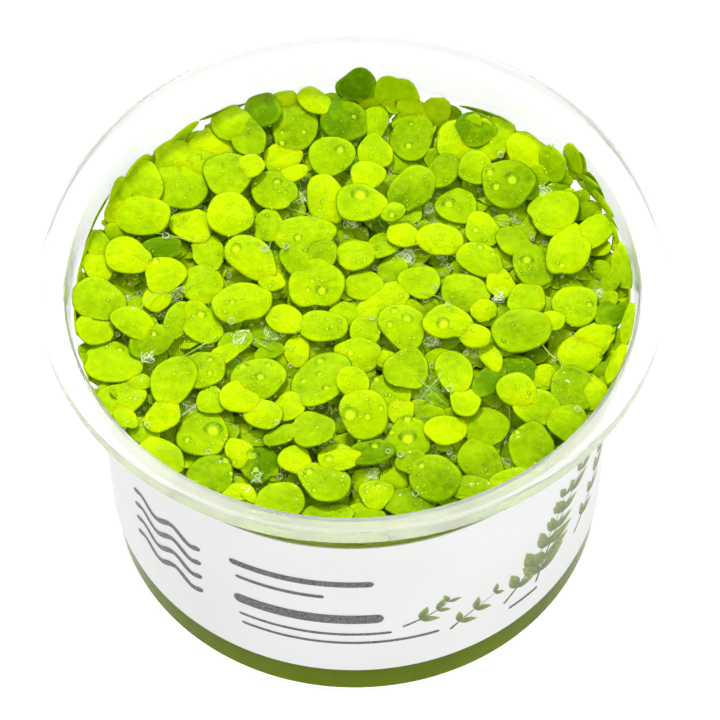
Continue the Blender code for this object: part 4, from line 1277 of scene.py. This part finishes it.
class DUCKWEED_OT_water(DuckweedOperator):
    """Sets the droplets on the fronds and the bubbles in the gaps"""

    bl_idname = "duckweed.water"
    bl_label = "Droplets and bubbles"

    def execute(self, context):
        settings = context.scene.duckweed_droplet
        leaves = LeafSurface()
        rng = random.Random(5)
        self.make_droplets(leaves, rng, settings)
        self.make_fine_droplets(leaves, rng, settings)
        clear = water_finish("water", Base_Color=(1.0, 1.0, 1.0)).material
        self.make_bubbles(leaves, rng, settings, clear)
        self.make_specks(rng, settings, clear)
        return {"FINISHED"}

    @staticmethod
    def drop(bm, mesh, place, normal, radius, rng, flat=0.36, sunk=0.2):
        """A lens of water, its middle on the surface or sunk into it."""
        layer = bm.verts.layers.float_vector["drop"]
        turn = normal.to_track_quat("Z", "Y").to_matrix()
        stretch = rng.uniform(0.9, 1.1)
        for vert in add_copy(bm, mesh):
            x, y, z = vert.co
            side = turn @ Vector((x * stretch, y / stretch, z * flat))
            vert[layer] = (side.x, side.y, z)
            vert.co = place + (side - sunk * normal) * radius

    def make_droplets(self, leaves, rng, settings):
        """Large droplets, their lenses turned partly towards the camera."""
        bm = new_mesh("drop")
        fine, coarse = ball(4), ball(3)
        for x, y, radius in DROPLETS:
            found = leaves.seen(x, y)
            if found:
                place, normal = found
                normal = (normal + 0.7 * leaves.toward(place)).normalized()
                self.drop(bm, fine if radius > 0.75 else coarse, place, normal,
                          1.25 * radius * MM, rng)
        finish = droplet_finish("droplet", settings, settings.glow)
        add_piece(bm, "droplets", finish, "duckweed_bed")

    def make_fine_droplets(self, leaves, rng, settings):
        """Tiny droplets, in clusters as the mist left them."""
        bm = new_mesh("drop")
        sphere, bead = ball(2), ball(1)
        for _ in range(settings.fine_count):
            x, y = anywhere(rng, GAP_REACH - 2.0)
            for _ in range(rng.choice((1, 2, 4, 7))):
                found = leaves.below(x + rng.gauss(0.0, 1.3), y + rng.gauss(0.0, 1.3))
                if found and found[0].z > MIST_LEVEL and found[1].dot(
                        leaves.toward(found[0])) > 0.62:
                    radius = (0.13 + 0.32 * rng.random() ** 2.2) * MM
                    self.drop(bm, sphere if radius > 0.2 * MM else bead, *found, radius, rng, 0.5)
        finish = droplet_finish("mist_droplet", settings, 0.6 * settings.glow)
        add_piece(bm, "fine_droplets", finish, "duckweed_bed")

    def make_specks(self, rng, settings, finish):
        """Tiny specks of water on the front left of the rim."""
        bm = new_mesh("drop")
        sphere = ball(2)
        for _ in range(settings.speck_count):
            turn = math.radians(rng.gauss(236.0, 30.0))
            reach = rng.uniform(45.9, 48.7) * MM
            place = Vector((reach * math.cos(turn), reach * math.sin(turn), 58.82 * MM))
            self.drop(bm, sphere, place, AXIS, rng.uniform(0.05, 0.17) * MM, rng, 0.6, 0.0)
        add_piece(bm, "rim_specks", finish, "clear_polypropylene")

    def make_bubbles(self, leaves, rng, settings, finish):
        """Round bubbles, each with a white ring at its rim as a painted highlight."""
        places = [(x, y, rng.uniform(0.4, 0.62)) for x, y in BUBBLES]
        while len(places) < settings.bubble_count:
            x, y = anywhere(rng, GAP_REACH)
            found = leaves.seen(x, y)
            if found and found[0].z < BUBBLE_LEVEL:
                places.append((x, y, 0.18 + 0.3 * rng.random() ** 2))
        balls, rings = new_mesh("drop"), bmesh.new()
        sphere, ring = ball(3), pattern(self.build_ring)
        for x, y, radius in places:
            found = leaves.seen(x, y)
            if not found:
                continue
            place, normal = found
            radius *= MM
            facing = (normal + Vector((0.0, -0.5, 1.0))).normalized()
            centre = place + facing * radius * 0.7
            self.drop(balls, sphere, centre, facing, radius, rng, 0.9, 0.0)
            turn = facing.to_track_quat("Z", "Y").to_matrix()
            for vert in add_copy(rings, ring):
                vert.co = centre + facing * radius * 0.3 + turn @ (vert.co * radius * 0.98)
        add_piece(balls, "bubbles", finish, "duckweed_bed")
        add_piece(rings, "bubble_rims", painted_glint_finish(), "duckweed_bed")

    @staticmethod
    def build_ring(bm):
        """A thin ring about Z, spun from a small circle."""
        made = bmesh.ops.create_circle(bm, segments=6, radius=0.13)
        bmesh.ops.rotate(bm, verts=made["verts"], matrix=Matrix.Rotation(math.pi / 2.0, 3, "X"))
        bmesh.ops.translate(bm, verts=made["verts"], vec=(0.87, 0.0, 0.0))
        bmesh.ops.spin(
            bm, geom=bm.verts[:] + bm.edges[:], cent=(0.0, 0.0, 0.0), axis=AXIS,
            angle=math.tau, steps=20, use_merge=True)


class DUCKWEED_OT_roots(DuckweedOperator):
    """Strings the white and pale green roots across the gaps"""

    bl_idname = "duckweed.roots"
    bl_label = "Roots"

    def execute(self, context):
        leaves = LeafSurface()
        rng = random.Random(21)
        strand = pattern(self.build_strand)
        white, green = bmesh.new(), bmesh.new()
        for x, y, reach, whiteness in ROOT_TUFTS:
            found = leaves.seen(x, y)
            if not found:
                continue
            for _ in range(int(14 + 9 * reach)):
                bm = white if rng.random() < 0.7 * whiteness else green
                self.curl(bm, strand, found[0], 0.8 * reach * MM, rng)
        for row in LONG_ROOTS:
            ends = [leaves.seen(*row[:2]), leaves.seen(*row[2:])]
            if all(ends):
                first, last = [end[0] + AXIS * 0.15 * MM for end in ends]
                sag = Vector((rng.uniform(-0.6, 0.6), rng.uniform(-0.6, 0.6), 0.25)) * MM
                self.bow(green, strand, first, last - first, sag, 0.085 * MM)
        self.strew(leaves, green, strand, rng, context.scene.duckweed_bed.root_count)
        add_piece(white, "white_roots", root_finish("white_root", 0.8), "duckweed_bed")
        add_piece(green, "green_roots", root_finish("green_root", 0.38), "duckweed_bed")
        return {"FINISHED"}

    def strew(self, leaves, bm, strand, rng, tries):
        """Short fine roots lying in the gaps between the top fronds."""
        for _ in range(tries):
            found = leaves.seen(*anywhere(rng, GAP_REACH))
            if found and found[0].z < ROOT_LEVEL:
                lean, length = rng.uniform(0.0, math.tau), rng.uniform(1.0, 3.2) * MM
                ahead = Vector((math.cos(lean), math.sin(lean), rng.uniform(-0.1, 0.35))) * length
                aside = Vector((-math.sin(lean), math.cos(lean), 0.0)) * length * rng.gauss(0.0, 0.2)
                start = found[0] - 0.5 * ahead + AXIS * 0.1 * MM
                self.bow(bm, strand, start, ahead, aside, rng.uniform(0.03, 0.06) * MM)

    @staticmethod
    def build_strand(bm):
        """A tube along Z from -0.5 to 0.5, with rings to bend it at."""
        bmesh.ops.create_cone(
            bm, cap_ends=True, segments=6, radius1=1.0, radius2=1.0, depth=1.0)
        sides = [edge for edge in bm.edges if abs(edge.verts[0].co.z - edge.verts[1].co.z) > 0.5]
        bmesh.ops.subdivide_edges(bm, edges=sides, cuts=15)

    @staticmethod
    def string(bm, strand, path, radius):
        """Bends a copy of the tube along a path."""
        for vert in add_copy(bm, strand):
            x, y, z = vert.co
            share = min(1.0, max(0.0, z + 0.5))
            ahead = (path(share + 0.02) - path(share - 0.02)).normalized()
            turn = ahead.to_track_quat("Z", "Y").to_matrix()
            thin = radius * (0.45 + 0.55 * math.sin(math.pi * (0.12 + 0.76 * share)))
            vert.co = path(share) + turn @ Vector((x * thin, y * thin, 0.0))

    def bow(self, bm, strand, start, ahead, aside, radius):
        """A root that runs ahead and bows aside in its middle."""
        self.string(bm, strand, lambda t: start + ahead * t + aside * math.sin(math.pi * t), radius)

    def curl(self, bm, strand, centre, reach, rng):
        """One strand of a tuft, wound loosely round its middle."""
        phases = [rng.uniform(0.0, math.tau) for _ in range(3)]
        pace = [rng.uniform(1.0, 3.4) for _ in range(3)]
        size = Vector((reach, reach, 0.3 * MM)) * rng.uniform(0.5, 1.2)

        def path(share):
            return centre + Vector([
                part * math.sin(speed * share + phase)
                for part, speed, phase in zip(size, pace, phases)])
        self.string(bm, strand, path, rng.uniform(0.03, 0.065) * MM)


class DUCKWEED_OT_stage(DuckweedOperator):
    """Sets the pale floor, the soft lights and the camera"""

    bl_idname = "duckweed.stage"
    bl_label = "Stage"

    def execute(self, context):
        settings = context.scene.duckweed_stage
        self.make_floor()
        self.make_surround(settings.surround)
        self.make_lamps(settings.key_power)
        self.make_camera(settings)
        view = context.scene.view_settings
        view.view_transform = "Standard"
        view.look = "None"
        return {"FINISHED"}

    @staticmethod
    def make_floor():
        bm = bmesh.new()
        bmesh.ops.create_grid(bm, x_segments=2, y_segments=2, size=4.0)
        floor = in_scene("floor", finished_mesh(bm, "floor"))
        made = Finish("pale_floor", Roughness=0.7, Specular_IOR_Level=0.1,
                      Emission_Color=(1.0, 1.0, 1.0), Emission_Strength=0.85)
        made.set(Base_Color=made.mix(made.noise(3.0), (0.34, 0.34, 0.34), (0.36, 0.36, 0.36)))
        floor.data.materials.append(made.material)

    @staticmethod
    def make_surround(light):
        """A white world that lights matt surfaces by its share and looks fully
        white in reflections."""
        world = bpy.data.worlds.new("white_surround")
        bpy.context.scene.world = world
        world.use_nodes = True
        tree = world.node_tree
        back = tree.nodes["Background"]
        back.inputs["Color"].default_value = (1.0, 1.0, 1.0, 1.0)
        path = tree.nodes.new("ShaderNodeLightPath")
        share = tree.nodes.new("ShaderNodeMath")
        share.operation = "MULTIPLY_ADD"
        tree.links.new(path.outputs["Is Diffuse Ray"], share.inputs[0])
        share.inputs[1].default_value = light - 1.0
        share.inputs[2].default_value = 1.0
        tree.links.new(share.outputs[0], back.inputs["Strength"])

    @staticmethod
    def make_lamps(power):
        """Soft square lamps, all aimed at the cup."""
        for name, place, size, share in LIGHTS:
            light = bpy.data.lights.new(name, "AREA")
            light.size = size
            light.energy = power * share
            lamp = in_scene(name, light)
            lamp.location = place
            lamp.rotation_euler = (-Vector(place)).to_track_quat("-Z", "Y").to_euler()
            lamp.visible_glossy = name != "key"

    @staticmethod
    def make_camera(settings):
        """Looks at the lip from the front, aimed so that its middle lands where
        it does in the photograph."""
        pixels = settings.lens / SENSOR * PHOTO_SIDE
        back = camera_side(settings)
        level = Vector((1.0, 0.0, 0.0))
        up = level.cross(-back)
        cosine, sine = math.cos(settings.roll), math.sin(settings.roll)
        right = level * cosine + up * sine
        above = up * cosine - level * sine
        forward = (-back * pixels + right * LIP_LEFT - above * LIP_UP).normalized()
        right = (right - forward * right.dot(forward)).normalized()
        above = right.cross(forward)
        data = bpy.data.cameras.new("camera")
        data.lens = settings.lens
        data.sensor_width = SENSOR
        data.clip_start = 0.01
        data.clip_end = 20.0
        camera = in_scene("camera", data)
        camera.matrix_world = Matrix.Translation(AXIS * LIP + back * settings.distance) @ Matrix(
            (right, above, -forward)).transposed().to_4x4()
        bpy.context.scene.camera = camera


class DUCKWEED_PT_panel(bpy.types.Panel):
    """Lists the pieces in the sidebar"""

    bl_idname = "DUCKWEED_PT_panel"
    bl_label = "Duckweed Cup"
    bl_space_type = "VIEW_3D"
    bl_region_type = "UI"
    bl_category = "Duckweed"

    def draw(self, context):
        for operator in OPERATORS:
            self.layout.operator(operator.bl_idname)


SETTINGS = {
    "duckweed_cup": CupSettings,
    "duckweed_label": LabelSettings,
    "duckweed_medium": MediumSettings,
    "duckweed_frond": FrondSettings,
    "duckweed_bed": BedSettings,
    "duckweed_droplet": DropletSettings,
    "duckweed_stage": StageSettings,
}
OPERATORS = (
    DUCKWEED_OT_cup, DUCKWEED_OT_label, DUCKWEED_OT_medium, DUCKWEED_OT_bed,
    DUCKWEED_OT_plants, DUCKWEED_OT_roots, DUCKWEED_OT_water, DUCKWEED_OT_stage)


def register():
    for item in (*SETTINGS.values(), *OPERATORS, DUCKWEED_PT_panel):
        bpy.utils.register_class(item)
    for name, group in SETTINGS.items():
        setattr(bpy.types.Scene, name, PointerProperty(type=group))


def unregister():
    for name in SETTINGS:
        delattr(bpy.types.Scene, name)
    for item in reversed((*SETTINGS.values(), *OPERATORS, DUCKWEED_PT_panel)):
        bpy.utils.unregister_class(item)


def main():
    register()
    for operator in OPERATORS:
        group, name = operator.bl_idname.split(".")
        getattr(getattr(bpy.ops, group), name)()


if __name__ == "__main__":
    main()
